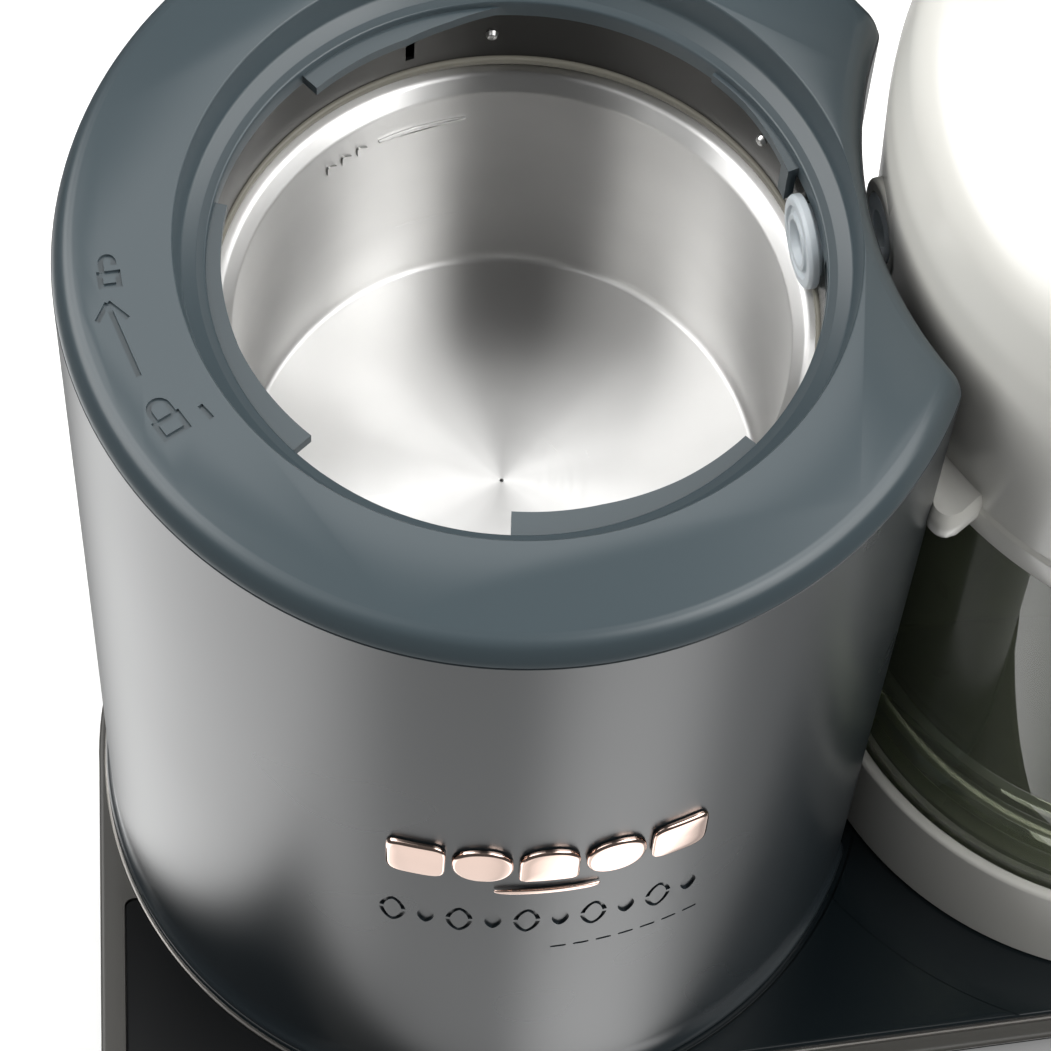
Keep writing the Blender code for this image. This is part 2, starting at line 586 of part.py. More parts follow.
def handle_route():
    """The middle of the handle's bar: out from the collar, up, and back to the glass."""
    reach = HANDLE_REACH - HANDLE_START_R - HANDLE_BAR_R - HANDLE_BEND
    points = [(0, HANDLE_LOW), (6, HANDLE_LOW)]
    for start, center_z in ((-90, HANDLE_LOW + HANDLE_BEND), (0, HANDLE_HIGH - HANDLE_BEND)):
        for step in range(7):
            a = math.radians(start + 15 * step)
            points.append((reach + HANDLE_BEND * math.cos(a), center_z + HANDLE_BEND * math.sin(a)))
    return points + [(4, HANDLE_HIGH), (-3.4, HANDLE_HIGH)]


def make_blade():
    """Two swept cutting arms round the hub."""
    points = []
    for half in (0, 180):
        for angle, radius in ((-52, 9.5), (-26, 10.5), (-14, 26), (0, 40), (12, 52), (17, 52), (22, 38), (34, 22),
                              (60, 10.5), (90, 9.5)):
            a = math.radians(angle + half)
            points.append((radius * math.cos(a), radius * math.sin(a)))
    blade = prism("blade", points, BLADE_Z, BLADE_Z + BLADE_THICKNESS, STEEL, BOWL)
    cut(blade, rod("blade_bore", 7.3, 90, 110, at=BOWL, steps=28, cutter=True))


def make_basket():
    """A wall with a hanging rim, and a perforated floor that rests on the wall's inner lip."""
    floor = BASKET_FLOOR
    turned("steam_basket", [(69.0, BASKET_TOP), (69.0, BASKET_TOP - 1.6), (66.6, BASKET_TOP - 2.6),
                            (65.6, floor - 1.6), (BASKET_LIP_R, floor - 1.6), (BASKET_LIP_R, floor - GAP),
                            (64.0, floor - GAP), (64.8, BASKET_TOP)], SMOKE, BOWL)
    plate = rod("basket_floor", 63.7, floor, floor + 1.8, SMOKE, BOWL, ROUND)
    for number in range(6):
        a = math.radians(60 * number)
        hole = rod(f"basket_hole_{number + 1}", BASKET_HOLE_R, 100, 112, steps=12, cutter=True,
                   at=(BOWL_X + 38 * math.cos(a), 38 * math.sin(a), 0))
        cut(plate, hole)


def make_lid():
    tube("lid_seal", 69.6, 72.9, GLASS_TOP + GAP, GLASS_TOP + 2.6, SILICONE, BOWL)
    lid = turned("lid_shell", [(0, LID_TOP), (38, LID_TOP - 1.4), (58, LID_TOP - 4), (67.5, LID_TOP - 7.6),
                               (73.2, LID_TOP - 12.8), (76.3, LID_TOP - 20.5), (77.5, LID_TOP - 30),
                               (77.6, LID_TOP - 38), (76.6, LID_TOP - 60), (76.0, LID_FOOT + 3),
                               (76.0, LID_FOOT), (73.4, LID_FOOT), (73.4, GLASS_TOP + 2.9), (69.4, GLASS_TOP + 2.9),
                               (69.4, GLASS_TOP + 5.0), (73.6, GLASS_TOP + 6.5), (75.0, LID_TOP - 38),
                               (74.8, LID_TOP - 28), (70.8, LID_TOP - 15), (64, LID_TOP - 9.5), (38, LID_TOP - 4.2),
                               (0, LID_TOP - 2.8)], CREAM, BOWL)
    rib = prism("lid_rib", sector(75, 81.2, 199, 213.3, 4), TAB_BOTTOM, TAB_TOP, at=BOWL, cutter=True)
    tab = prism("lid_tab", sector(76, 85.4, 209.8, 213.3, 1), TAB_BOTTOM + 0.1, TAB_TOP - 0.1, at=BOWL, cutter=True)
    boss = rod("inlet_boss", 9.4, 0, 5.4, steps=24, cutter=True)
    cross_bar(boss, SEAL_AZ, INLET_REACH + 0.6, SEAL_Z, COLUMN_X)
    fuse(lid, rib, tab, boss)
    inlet_way = rod("inlet_way", 7.0, -8, 8, steps=24, cutter=True)
    cut(lid, cross_bar(inlet_way, SEAL_AZ, 72, SEAL_Z, COLUMN_X))
    inlet = turned("lid_steam_inlet", [(3.6, 0.0), (6.7, 0.0), (6.7, INLET_LENGTH), (3.6, INLET_LENGTH)], SILICONE,
                   steps=24)
    cross_bar(inlet, SEAL_AZ, INLET_REACH, SEAL_Z, COLUMN_X)


make_base()
make_deck()
make_column()
make_boiler()
make_steam_way()
make_marks()
make_drive()
make_bowl()
make_basket()
make_lid()
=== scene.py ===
"""Looks for the baby food maker: fine surfaces, materials, studio light and camera.

Lengths are metres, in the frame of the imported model. Places come from the CAD nodes' own boxes.
"""
import json
import math

import bmesh
import bpy
from mathutils import Matrix, Vector


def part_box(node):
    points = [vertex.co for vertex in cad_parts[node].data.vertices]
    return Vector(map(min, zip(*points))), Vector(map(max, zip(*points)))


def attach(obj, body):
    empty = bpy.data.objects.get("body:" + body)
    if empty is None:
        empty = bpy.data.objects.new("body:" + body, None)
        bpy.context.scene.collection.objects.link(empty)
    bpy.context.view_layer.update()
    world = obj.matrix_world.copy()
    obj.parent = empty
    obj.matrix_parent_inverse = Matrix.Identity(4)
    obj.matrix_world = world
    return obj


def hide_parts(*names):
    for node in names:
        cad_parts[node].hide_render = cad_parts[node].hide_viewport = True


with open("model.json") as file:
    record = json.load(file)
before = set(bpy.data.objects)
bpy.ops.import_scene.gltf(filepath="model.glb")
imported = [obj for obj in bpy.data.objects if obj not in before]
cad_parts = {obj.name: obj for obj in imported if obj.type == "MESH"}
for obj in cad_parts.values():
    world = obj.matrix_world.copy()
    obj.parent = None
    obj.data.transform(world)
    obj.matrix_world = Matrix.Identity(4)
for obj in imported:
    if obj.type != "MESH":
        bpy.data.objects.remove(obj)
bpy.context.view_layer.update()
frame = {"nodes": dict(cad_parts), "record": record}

MM = 0.001
TURN = 192


# ---- places read from the frame ----
def middle(node):
    low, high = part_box(node)
    return (low + high) / 2


def top(node):
    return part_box(node)[1].z / MM


def bottom(node):
    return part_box(node)[0].z / MM


def width(node):
    low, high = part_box(node)
    return (high.x - low.x) / MM


COLUMN_X = middle("tank").x / MM
BOWL_X = middle("bowl_collar").x / MM
SPACING = BOWL_X - COLUMN_X
RING_TOP = top("top_ring")
DECK_TOP = top("deck_cover")
LEDGE_TOP = top("base_housing")
BASE_BOTTOM = bottom("base_housing")
SHELL_TOP = top("column_shell")
SHELL_TOP_R = COLUMN_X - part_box("column_shell")[0].x / MM
SHELL_TAPER = 2.2
SHELL_FOOT_R = SHELL_TOP_R - SHELL_TAPER
SHELL_WALL = 2.6
COLUMN_CORNER_R = 4.5
CUTOUT_R = 81.6
MOUTH_R = 62.0
LEDGE_R = 56.5
LUG_BOTTOM = RING_TOP - 13.0
LUG_TOP = RING_TOP - 10.3
STROKE_HALF = 0.5
PADLOCK_RIM = 1.05
DECK_BOWL_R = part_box("deck_cover")[1].x / MM - BOWL_X
DECK_COLUMN_R = COLUMN_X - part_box("deck_cover")[0].x / MM
BASE_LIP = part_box("base_housing")[1].x / MM - BOWL_X - DECK_BOWL_R
LEFT_SIDE_R = 85.0
LEFT_SIDE_AZ = 174.0
FRONT_CORNER_R = 13.0
BEZEL = 5.6
INLAY_START_Y = -24.8
INLAY_LENGTH = 48.0
INLAY_CORNER_R = 2.0
LIP_TOP = top("tank")
TANK_DISH = 1.4
TANK_FLOOR = bottom("tank") + TANK_DISH
TANK_R = 52.0
TANK_WAY_R = 56
PIN_REACH = 60
PIN_WAY_R = 2.5
FILL_Z = RING_TOP - 40.2
FILL_START_AZ = 91
FILL_END_AZ = 110.5
FILL_HALF = 0.28
FILL_DEPTHS = (TANK_R - 0.02, TANK_R - 0.4)
COLLAR_R = width("bowl_collar") / 2
COLLAR_TOP = top("bowl_collar")
GLASS_TOP = top("bowl_glass")
LID_TOP = top("lid_shell")
LID_FOOT = bottom("lid_shell")
SEAL_AZ = 4.0
SEAL_Z = middle("steam_seal").z / MM
SEAL_REACH = 53.4
SEAL_NECK_R = 6.8
SEAL_DEPTH = 7.2
GASKET_INNER_R = 56.2
TAB_BOTTOM = RING_TOP - 52.8
MARK_Z = middle("badge_tile_3").z / MM
MARK_START_AZ = -114.6
MARK_END_AZ = -70.4
MARK_MIDDLE = math.radians((MARK_START_AZ + MARK_END_AZ) / 2)
# each bayonet lug's inner edge, and the stop's, as (azimuth, radius)
LUGS = [[(-100, 51.1), (-82, 51.6), (-65.6, 52.8), (-49.4, 53.7)],
        [(82, 57.0), (86.5, 56.0), (94.5, 54.3), (104, 52.9), (126, 52.7)],
        [(14, 54.3), (22.6, 55.0), (31.5, 55.6), (40.3, 55.7)],
        [(-13.5, 52.8), (-6.5, 53.3)],
        [(159, 54.2), (192, 53.3), (216, 51.7)]]
STOP = [(14.4, 54.5), (17.4, 54.7)]
# soft patches of light: azimuth, half width, lowest and highest elevation in degrees, and level
CARDS = [(158, 27, 12, 62, 4.2), (-19, 37, 12, 64, 3.7), (-52, 16, 38, 66, 2.2), (78, 28, 51, 76, 2.7),
         (170, 50, -90, -46, 2.1), (-112, 22, -90, -46, 0.9), (-60, 18, -90, -50, 2.1),
         (10, 40, -90, -50, 0.5), (70, 14, -90, -50, 0.8)]
CARD_EDGE = 14.0
ROOM_LEVEL = 0.07
SKY_LEVEL = 0.03
CAMERA_PAN = -13.10
CAMERA_ELEVATION = 61.80
CAMERA_ROLL = 4.739
CAMERA_DISTANCE = 0.7815
CAMERA_LENS = 154.14


# ---- materials ----
def nodes_of(name):
    made = bpy.data.materials.new(name)
    made.use_nodes = True
    tree = made.node_tree
    return made, tree, tree.nodes["Principled BSDF"]


def set_values(shader, values):
    for socket, value in values.items():
        shader.inputs[socket].default_value = value


def mottle(tree, coords, scale, detail, low, high):
    """A soft noise, stretched between two values."""
    noise = tree.nodes.new("ShaderNodeTexNoise")
    noise.inputs["Scale"].default_value = scale
    noise.inputs["Detail"].default_value = detail
    tree.links.new(coords, noise.inputs["Vector"])
    spread = tree.nodes.new("ShaderNodeMapRange")
    spread.inputs["From Min"].default_value = 0.15
    spread.inputs["From Max"].default_value = 0.85
    spread.inputs["To Min"].default_value = low
    spread.inputs["To Max"].default_value = high
    tree.links.new(noise.outputs["Fac"], spread.inputs["Value"])
    return spread.outputs["Result"]


def add_bump(tree, shader, height, distance):
    bump = tree.nodes.new("ShaderNodeBump")
    bump.inputs["Strength"].default_value = 1.0
    bump.inputs["Distance"].default_value = distance
    tree.links.new(height, bump.inputs["Height"])
    tree.links.new(bump.outputs["Normal"], shader.inputs["Normal"])


def tint(tree, shader, dark, light, factor):
    mix = tree.nodes.new("ShaderNodeMix")
    mix.data_type = "RGBA"
    mix.inputs["A"].default_value = (*dark, 1)
    mix.inputs["B"].default_value = (*light, 1)
    tree.links.new(factor, mix.inputs["Factor"])
    tree.links.new(mix.outputs["Result"], shader.inputs["Base Color"])


def object_coords(tree):
    return tree.nodes.new("ShaderNodeTexCoord").outputs["Object"]


def moulded(name, dark, light, rough, grain, grain_scale=2600.0, coat=0.0):
    """Moulded plastic: slow changes of tone and of sheen, and a fine spark-eroded grain if it has a depth."""
    made, tree, shader = nodes_of(name)
    coords = object_coords(tree)
    tint(tree, shader, dark, light, mottle(tree, coords, 14.0, 1.0, 0.0, 1.0))
    sheen = mottle(tree, coords, 22.0, 1.0, rough[0], rough[1])
    tree.links.new(sheen, shader.inputs["Roughness"])
    if grain:
        add_bump(tree, shader, mottle(tree, coords, grain_scale, 2.0, 0.0, 1.0), grain)
    set_values(shader, {"Coat Weight": coat, "Coat Roughness": 0.12})
    return made


def cylinder_coords(tree, around, along):
    """Coordinates that run with a turned part: angle, radius and height, each with its own scale."""
    split = tree.nodes.new("ShaderNodeSeparateXYZ")
    tree.links.new(object_coords(tree), split.inputs["Vector"])
    angle = math_node(tree, "ARCTAN2", split.outputs["Y"], split.outputs["X"])
    flat = tree.nodes.new("ShaderNodeCombineXYZ")
    tree.links.new(split.outputs["X"], flat.inputs["X"])
    tree.links.new(split.outputs["Y"], flat.inputs["Y"])
    length = tree.nodes.new("ShaderNodeVectorMath")
    length.operation = "LENGTH"
    tree.links.new(flat.outputs["Vector"], length.inputs[0])
    joined = tree.nodes.new("ShaderNodeCombineXYZ")
    tree.links.new(math_node(tree, "MULTIPLY", angle, around), joined.inputs["X"])
    tree.links.new(math_node(tree, "MULTIPLY", length.outputs["Value"], along), joined.inputs["Y"])
    tree.links.new(math_node(tree, "MULTIPLY", split.outputs["Z"], along), joined.inputs["Z"])
    return joined.outputs["Vector"]


def math_node(tree, operation, first, second):
    node = tree.nodes.new("ShaderNodeMath")
    node.operation = operation
    for socket, value in zip(node.inputs, (first, second)):
        if isinstance(value, (int, float)):
            socket.default_value = value
        else:
            tree.links.new(value, socket)
    return node.outputs[0]


def turned_steel(name, color, rough, anisotropy, lines):
    """Spun stainless steel: hair lines run round the axis, and the highlight spreads across them."""
    made, tree, shader = nodes_of(name)
    hair = mottle(tree, cylinder_coords(tree, 0.9, 2400.0), 1.0, 3.0, 0.0, 1.0)
    cloud = mottle(tree, cylinder_coords(tree, 1.6, 40.0), 1.0, 2.0, 0.0, 1.0)
    tint(tree, shader, [c * 0.86 for c in color], color, cloud)
    sheen = math_node(tree, "MULTIPLY", hair, rough[1] - rough[0])
    tree.links.new(math_node(tree, "ADD", sheen, rough[0]), shader.inputs["Roughness"])
    add_bump(tree, shader, hair, lines)
    tangent = tree.nodes.new("ShaderNodeTangent")
    tangent.direction_type = "RADIAL"
    tangent.axis = "Z"
    tree.links.new(tangent.outputs["Tangent"], shader.inputs["Tangent"])
    set_values(shader, {"Metallic": 1.0, "Anisotropic": anisotropy, "Anisotropic Rotation": 0.25})
    return made


def metal(name, color, rough, scale=900.0):
    made, tree, shader = nodes_of(name)
    coords = object_coords(tree)
    tint(tree, shader, [c * 0.9 for c in color], color, mottle(tree, coords, 60.0, 3.0, 0.0, 1.0))
    tree.links.new(mottle(tree, coords, scale, 4.0, rough[0], rough[1]), shader.inputs["Roughness"])
    set_values(shader, {"Metallic": 1.0})
    return made


def clear(name, color, rough, weight, ior=1.5):
    made, tree, shader = nodes_of(name)
    coords = object_coords(tree)
    tint(tree, shader, [c * 0.94 for c in color], color, mottle(tree, coords, 30.0, 2.0, 0.0, 1.0))
    tree.links.new(mottle(tree, coords, 160.0, 3.0, rough[0], rough[1]), shader.inputs["Roughness"])
    set_values(shader, {"Transmission Weight": weight, "IOR": ior})
    return made


SLATE = moulded("slate_satin", (0.050, 0.068, 0.078), (0.053, 0.072, 0.082), (0.27, 0.30), 0)
# The shell takes the ring's slate painted about three times darker: painted shade on the column's sides and
# low on its front.
SHELL = moulded("slate_painted_shade", (0.015, 0.020, 0.024), (0.018, 0.024, 0.028), (0.27, 0.285), 0)
DECK = moulded("slate_gloss", (0.005, 0.008, 0.010), (0.008, 0.012, 0.014), (0.16, 0.20), 0)
GREY = moulded("grey_satin", (0.044, 0.042, 0.038), (0.052, 0.050, 0.045), (0.38, 0.46), 0.000012)
BLACK = moulded("black_gloss", (0.003, 0.0035, 0.004), (0.004, 0.005, 0.006), (0.06, 0.10), 0.000002, 900.0)
WARM = moulded("warm_grey_satin", (0.70, 0.69, 0.645), (0.74, 0.73, 0.685), (0.34, 0.42), 0.000002)
CREAM = moulded("cream_gloss", (0.79, 0.78, 0.73), (0.82, 0.81, 0.76), (0.20, 0.27), 0.000003, 900.0, 0.25)
# The gasket's cream is painted about a fifth as bright as the lid's cream: painted shade under the ring's
# ledge.
GASKET = moulded("gasket_cream_painted_shade", (0.17, 0.16, 0.13), (0.21, 0.20, 0.165), (0.45, 0.55), 0.000003)
INLAY = moulded("inlay_black", (0.0025, 0.003, 0.0035), (0.004, 0.0045, 0.005), (0.40, 0.48), 0.000001)
INLAY.node_tree.nodes["Principled BSDF"].inputs["Specular IOR Level"].default_value = 0.12
RUBBER = moulded("rubber_black", (0.012, 0.012, 0.012), (0.02, 0.02, 0.02), (0.7, 0.85), 0.00003)
SMOKE = moulded("smoked_plastic", (0.024, 0.027, 0.019), (0.029, 0.032, 0.023), (0.5, 0.6), 0)
BOARD = moulded("board_green", (0.012, 0.09, 0.04), (0.02, 0.12, 0.055), (0.35, 0.5), 0.00001)
STEEL = turned_steel("spun_steel", (0.77, 0.765, 0.755), (0.27, 0.31), 1.0, 0.000001)
# The collar's steel is the tank's steel painted about ten times darker: painted shade down inside the ring's
# mouth.
SHADED_STEEL = turned_steel("collar_steel_painted_shade", (0.075, 0.074, 0.071), (0.20, 0.26), 0.8, 0.000001)
PLAIN_STEEL = metal("plain_steel", (0.66, 0.66, 0.65), (0.22, 0.34))
ALUMINIUM = metal("cast_aluminium", (0.60, 0.61, 0.62), (0.35, 0.5))
SILVER = metal("silver_trim", (0.50, 0.48, 0.45), (0.30, 0.34), 90.0)
ROSE = metal("rose_plating", (0.93, 0.70, 0.60), (0.05, 0.10))
CLEAR_GLASS = clear("pressed_glass", (0.74, 0.80, 0.60), (0.01, 0.04), 0.88)
CLEAR_GLASS.node_tree.nodes["Principled BSDF"].inputs["Specular IOR Level"].default_value = 0.22
SILICONE = clear("clear_silicone", (0.80, 0.86, 0.90), (0.28, 0.4), 0.35, 1.41)


# ---- mesh helpers, all in millimetres ----
def finish_mesh(name, bm, paint, at=(0, 0, 0), angle=35):
    bmesh.ops.recalc_face_normals(bm, faces=bm.faces)
    mesh = bpy.data.meshes.new(name)
    bm.to_mesh(mesh)
    bm.free()
    mesh.shade_smooth()
    mesh.set_sharp_from_angle(angle=math.radians(angle))
    obj = bpy.data.objects.new(name, mesh)
    obj.location = Vector(at) * MM
    bpy.context.scene.collection.objects.link(obj)
    if paint:
        mesh.materials.append(paint)
    return obj


def skin(bm, rings):
    """Quads between loops of points, and a cap on each end."""
    loops = [[bm.verts.new(Vector(p) * MM) for p in ring] for ring in rings]
    for lower, upper in zip(loops, loops[1:]):
        count = len(lower)
        for i in range(count):
            j = (i + 1) % count
            bm.faces.new((lower[i], lower[j], upper[j], upper[i]))
    bm.faces.new(loops[0])
    bm.faces.new(loops[-1])


def loft(name, sections, paint=None, at=(0, 0, 0)):
    bm = bmesh.new()
    skin(bm, [[(x, y, z) for x, y in outline] for outline, z in sections])
    return finish_mesh(name, bm, paint, at)


def turned(name, profile, paint=None, at=(0, 0, 0), steps=TURN):
    """Turn a closed profile of (radius, height), or one that ends on the axis at both ends."""
    bm = bmesh.new()
    verts = [bm.verts.new((r * MM, 0, z * MM)) for r, z in profile]
    edges = [bm.edges.new(pair) for pair in zip(verts, verts[1:])]
    if profile[0][0] > 0 or profile[-1][0] > 0:
        edges.append(bm.edges.new((verts[-1], verts[0])))
    bmesh.ops.spin(bm, geom=verts + edges, cent=(0, 0, 0), axis=(0, 0, 1), angle=2 * math.pi, steps=steps,
                   use_merge=True)
    bmesh.ops.remove_doubles(bm, verts=bm.verts, dist=0.0000005)
    return finish_mesh(name, bm, paint, at)


def rounded(points, segments=5):
    """Round the corners of a profile: each point is (x, y, fillet radius), and 0 keeps it sharp."""
    made = []
    count = len(points)
    for i, (x, y, radius) in enumerate(points):
        if not radius or i in (0, count - 1) and points[0][0] == 0:
            made.append((x, y))
            continue
        here = Vector((x, y))
        before = Vector(points[i - 1][:2]) - here
        after = Vector(points[(i + 1) % count][:2]) - here
        half = before.angle(after) / 2
        back = min(radius / math.tan(half), before.length * 0.49, after.length * 0.49)
        reach = back * math.tan(half)
        start = here + before.normalized() * back
        end = here + after.normalized() * back
        centre = here + (before.normalized() + after.normalized()).normalized() * (reach / math.sin(half))
        first = start - centre
        last = end - centre
        sweep = first.angle_signed(last)
        for step in range(segments + 1):
            spin = Matrix.Rotation(-sweep * step / segments, 2)
            made.append(tuple(centre + spin @ first))
    return made


def arc(centre_x, radius, start, end, count, centre_y=0.0):
    angles = [math.radians(start + (end - start) * i / count) for i in range(count + 1)]
    return [(centre_x + radius * math.cos(a), centre_y + radius * math.sin(a)) for a in angles]


def boolean(target, tool, operation):
    modifier = target.modifiers.new("tool", "BOOLEAN")
    modifier.object = tool
    modifier.operation = operation
    modifier.solver = "EXACT"
    bpy.context.view_layer.update()
    evaluated = target.evaluated_get(bpy.context.evaluated_depsgraph_get())
    mesh = bpy.data.meshes.new_from_object(evaluated)
    target.modifiers.clear()
    old = target.data
    target.data = mesh
    bpy.data.meshes.remove(old)
    bpy.data.objects.remove(tool)


def cut(target, *tools):
    for tool in tools:
        boolean(target, tool, "DIFFERENCE")


def fuse(target, *tools):
    for tool in tools:
        boolean(target, tool, "UNION")


def resmooth(obj, angle=35):
    obj.data.shade_smooth()
    obj.data.set_sharp_from_angle(angle=math.radians(angle))


def aim_out(piece, turn, radius, height, pitch=math.pi / 2):
    """Lay a turned piece along a ray from the column's axis, with its foot at a radius and a height."""
    piece.rotation_euler = (0, pitch, turn)
    piece.location = Vector((COLUMN_X + radius * math.cos(turn), radius * math.sin(turn), height)) * MM
    return piece


def seat(piece, body, slot, *nodes):
    """Say which body a piece rides on and which CAD nodes it stands for, and hide those nodes; the slot is
    not used.
    """
    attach(piece, body)
    if nodes:
        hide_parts(*nodes)
    return piece


# ---- outlines ----
def polar(radius, azimuth):
    return radius * math.cos(math.radians(azimuth)), radius * math.sin(math.radians(azimuth))


def sector(inner, outer, start, end, count):
    return arc(0, outer, start, end, count) + arc(0, inner, end, start, count)


def column_outline(radius, cutout):
    """The column seen from above: a circle with a concave side towards the bowl, and round corners."""
    corner = COLUMN_CORNER_R
    x = ((radius - corner) ** 2 - (cutout + corner) ** 2 + SPACING ** 2) / (2 * SPACING)
    y = math.sqrt((radius - corner) ** 2 - x * x)
    on_circle = math.degrees(math.atan2(y, x))
    on_cutout = math.degrees(math.atan2(y, x - SPACING))
    points = arc(0, radius, on_circle, 360 - on_circle, 150)
    points += arc(x, corner, -on_circle, on_cutout * -1 + 180, 8, -y)[1:-1]
    points += arc(SPACING, cutout, 360 - on_cutout, on_cutout, 50)
    points += arc(x, corner, on_cutout - 180, on_circle, 8, y)[1:-1]
    return points


def deck_outline(offset):
    """The deck: a circle round the column, straight sides and a half circle round the bowl."""
    column_r = DECK_COLUMN_R + offset
    bowl_r = DECK_BOWL_R + offset
    meet = math.degrees(math.asin(bowl_r / column_r))
    return arc(BOWL_X, bowl_r, -90, 90, 60) + arc(COLUMN_X, column_r, meet, 360 - meet, 110)


def base_outline(offset):
    """The deck's outline grown by the base's lip, with a straight left side and a round front corner."""
    column_r = DECK_COLUMN_R + BASE_LIP + offset
    bowl_r = DECK_BOWL_R + BASE_LIP + offset
    meet = math.degrees(math.asin(bowl_r / column_r))
    points = arc(BOWL_X, bowl_r, -90, 90, 60)
    for step in range(49):
        along = step / 48
        radius = column_r + (LEFT_SIDE_R + offset - column_r) * along * along
        a = math.radians(meet + (LEFT_SIDE_AZ - meet) * along)
        points.append((COLUMN_X + radius * math.cos(a), radius * math.sin(a)))
    corner_r = FRONT_CORNER_R + offset
    corner_y = corner_r - column_r
    corner_x = COLUMN_X + left_side_x(LEFT_SIDE_R - FRONT_CORNER_R, corner_y)
    points += arc(corner_x, corner_r, LEFT_SIDE_AZ, 270, 18, corner_y)
    return points + arc(COLUMN_X, column_r, -90, -meet, 12)


def left_side_x(distance, y):
    """Where a line parallel to the base's left side, this far from the column's axis, passes a depth y."""
    turn = math.radians(LEFT_SIDE_AZ)
    return (distance - y * math.sin(turn)) / math.cos(turn)


def ledge_outline(grow):
    """The dark inlay between the bezel on the left and the column's foot."""
    side = LEFT_SIDE_R - BEZEL + grow
    high = INLAY_START_Y + grow
    low = INLAY_START_Y - INLAY_LENGTH - grow
    inner_r = DECK_COLUMN_R - 3 - grow
    start = 180 + math.degrees(math.asin(-low / inner_r))
    end = 180 + math.degrees(math.asin(-high / inner_r))
    left = [(COLUMN_X + left_side_x(side, y), y, INLAY_CORNER_R) for y in (high, low)]
    inside = [(x, y, 0) for x, y in arc(COLUMN_X, inner_r, start, end, 30)]
    return rounded(left + inside, 6)


def lug_outline(inner_edge, outer=LEDGE_R + 1.7):
    """A bayonet lug seen from above: its inner edge as (azimuth, radius) pairs, in rising azimuth."""
    start, end = inner_edge[0][0], inner_edge[-1][0]
    points = arc(0, outer, start, end, max(3, round(end - start)))
    inner = []
    for (from_az, from_r), (to_az, to_r) in zip(inner_edge, inner_edge[1:]):
        steps = max(2, round(to_az - from_az))
        for step in range(steps):
            share = step / steps
            inner.append((from_az + (to_az - from_az) * share, from_r + (to_r - from_r) * share))
    inner.append(inner_edge[-1])
    return points + [polar(r, a) for a, r in reversed(inner)]


COLUMN = (COLUMN_X, 0, 0)
BOWL = (BOWL_X, 0, 0)


# ---- column ----
def shell_radius(z):
    along = (z - DECK_TOP) / (SHELL_TOP - DECK_TOP)
    return SHELL_FOOT_R + (SHELL_TOP_R - SHELL_FOOT_R) * along


def shell_section(z, inset=0.0, wall=0.0):
    return column_outline(shell_radius(z) - inset - wall, CUTOUT_R + inset + wall), z


def cross_rod(radius, azimuth, reach, height, half):
    """A round tool lying along a ray from the column's axis."""
    tool = turned("tool", [(0, half), (radius, half), (radius, -half), (0, -half)], steps=64)
    return aim_out(tool, math.radians(azimuth), reach, height)


def make_shell():
    """The shell, with a rounded bead round its foot."""
    foot = bottom("column_shell")
    bead_height, bead_proud, levels = 4.4, 1.1, 24
    bead = [(foot, 0.9), (foot + 0.5, 0.25), (foot + 1.3, 0.0), (foot + 2.4, 0.15), (foot + 3.4, 0.5)]
    sections = [shell_section(z, inset - bead_proud) for z, inset in bead]
    sections += [shell_section(foot + bead_height)]
    for step in range(1, levels + 1):
        climb = (SHELL_TOP - 0.6 - foot - bead_height) * step / levels
        sections.append(shell_section(foot + bead_height + climb))
    sections += [shell_section(SHELL_TOP - 0.15), shell_section(SHELL_TOP, 0.15)]
    shell = loft("column_skin", sections, SHELL, COLUMN)
    ends = [shell_section(z, wall=SHELL_WALL) for z in (foot - 1, SHELL_TOP + 1)]
    hollow = loft("tool", ends, at=COLUMN)
    cut(shell, hollow, cross_rod(7.2, SEAL_AZ, 65, SEAL_Z, 7))
    for outline, lift in pressed_marks():
        cut(shell, wrapped("tool", outline, MARK_Z + lift, -0.55, 2.0))
    resmooth(shell)
    seat(shell, "base", "slate_plastic", "column_shell")


def wrapped(name, outline, height, low, high):
    """A tool from an outline in (arc length, height), wrapped on the column between two depths."""
    bm = bmesh.new()
    rings = []
    for depth in (low, high):
        ring = []
        for u, v in outline:
            z = height + v
            skin_r = shell_radius(z)
            a = MARK_MIDDLE + u / skin_r
            ring.append(((skin_r + depth) * math.cos(a), (skin_r + depth) * math.sin(a), z))
        rings.append(ring)
    skin(bm, rings)
    return finish_mesh(name, bm, None, COLUMN)


def superellipse(half_u, half_v, power, count, at_u=0.0):
    points = []
    for step in range(count):
        a = 2 * math.pi * step / count
        c, s = math.cos(a), math.sin(a)
        points.append((at_u + half_u * math.copysign(abs(c) ** (2 / power), c),
                       half_v * math.copysign(abs(s) ** (2 / power), s)))
    return points


def pressed_marks():
    """A row of open and solid diamonds over a row of dashes, each outline with its height."""
    diamond_lift, dash_lift = -28.2, -42.7
    marks = []
    for number in range(10):
        u = -29.7 + 6.6 * number
        if number % 2:
            marks.append((superellipse(1.7, 3.6, 1.6, 28, u), diamond_lift))
        else:
            outer = superellipse(2.7, 5.7, 1.6, 40, u)
            inner = superellipse(1.8, 4.4, 1.6, 40, u)
            for first, last in ((1, 20), (21, 40)):
                marks.append((outer[first:last] + inner[first:last][::-1], diamond_lift))
    for number in range(7):
        marks.append((superellipse(1.6, 0.45, 4, 16, 3.5 + 4.6 * number), dash_lift))
    return marks


def tile_outline(kind):
    """Plain shapes, about 12 mm across: disc, square and arch."""
    if kind == "disc":
        return superellipse(5.9, 6.6, 2.2, 64)
    if kind == "square":
        return superellipse(5.8, 6.6, 5.0, 64)
    outline = rounded([(-5.8, -6.6, 1.2), (5.8, -6.6, 1.2), (5.8, 6.6, 5.4), (-5.8, 6.6, 5.4)], 10)
    fine = []
    for (ax, ay), (bx, by) in zip(outline, outline[1:] + outline[:1]):
        steps = max(1, int(math.hypot(bx - ax, by - ay) / 0.7))
        fine += [(ax + (bx - ax) * i / steps, ay + (by - ay) * i / steps) for i in range(steps)]
    return fine


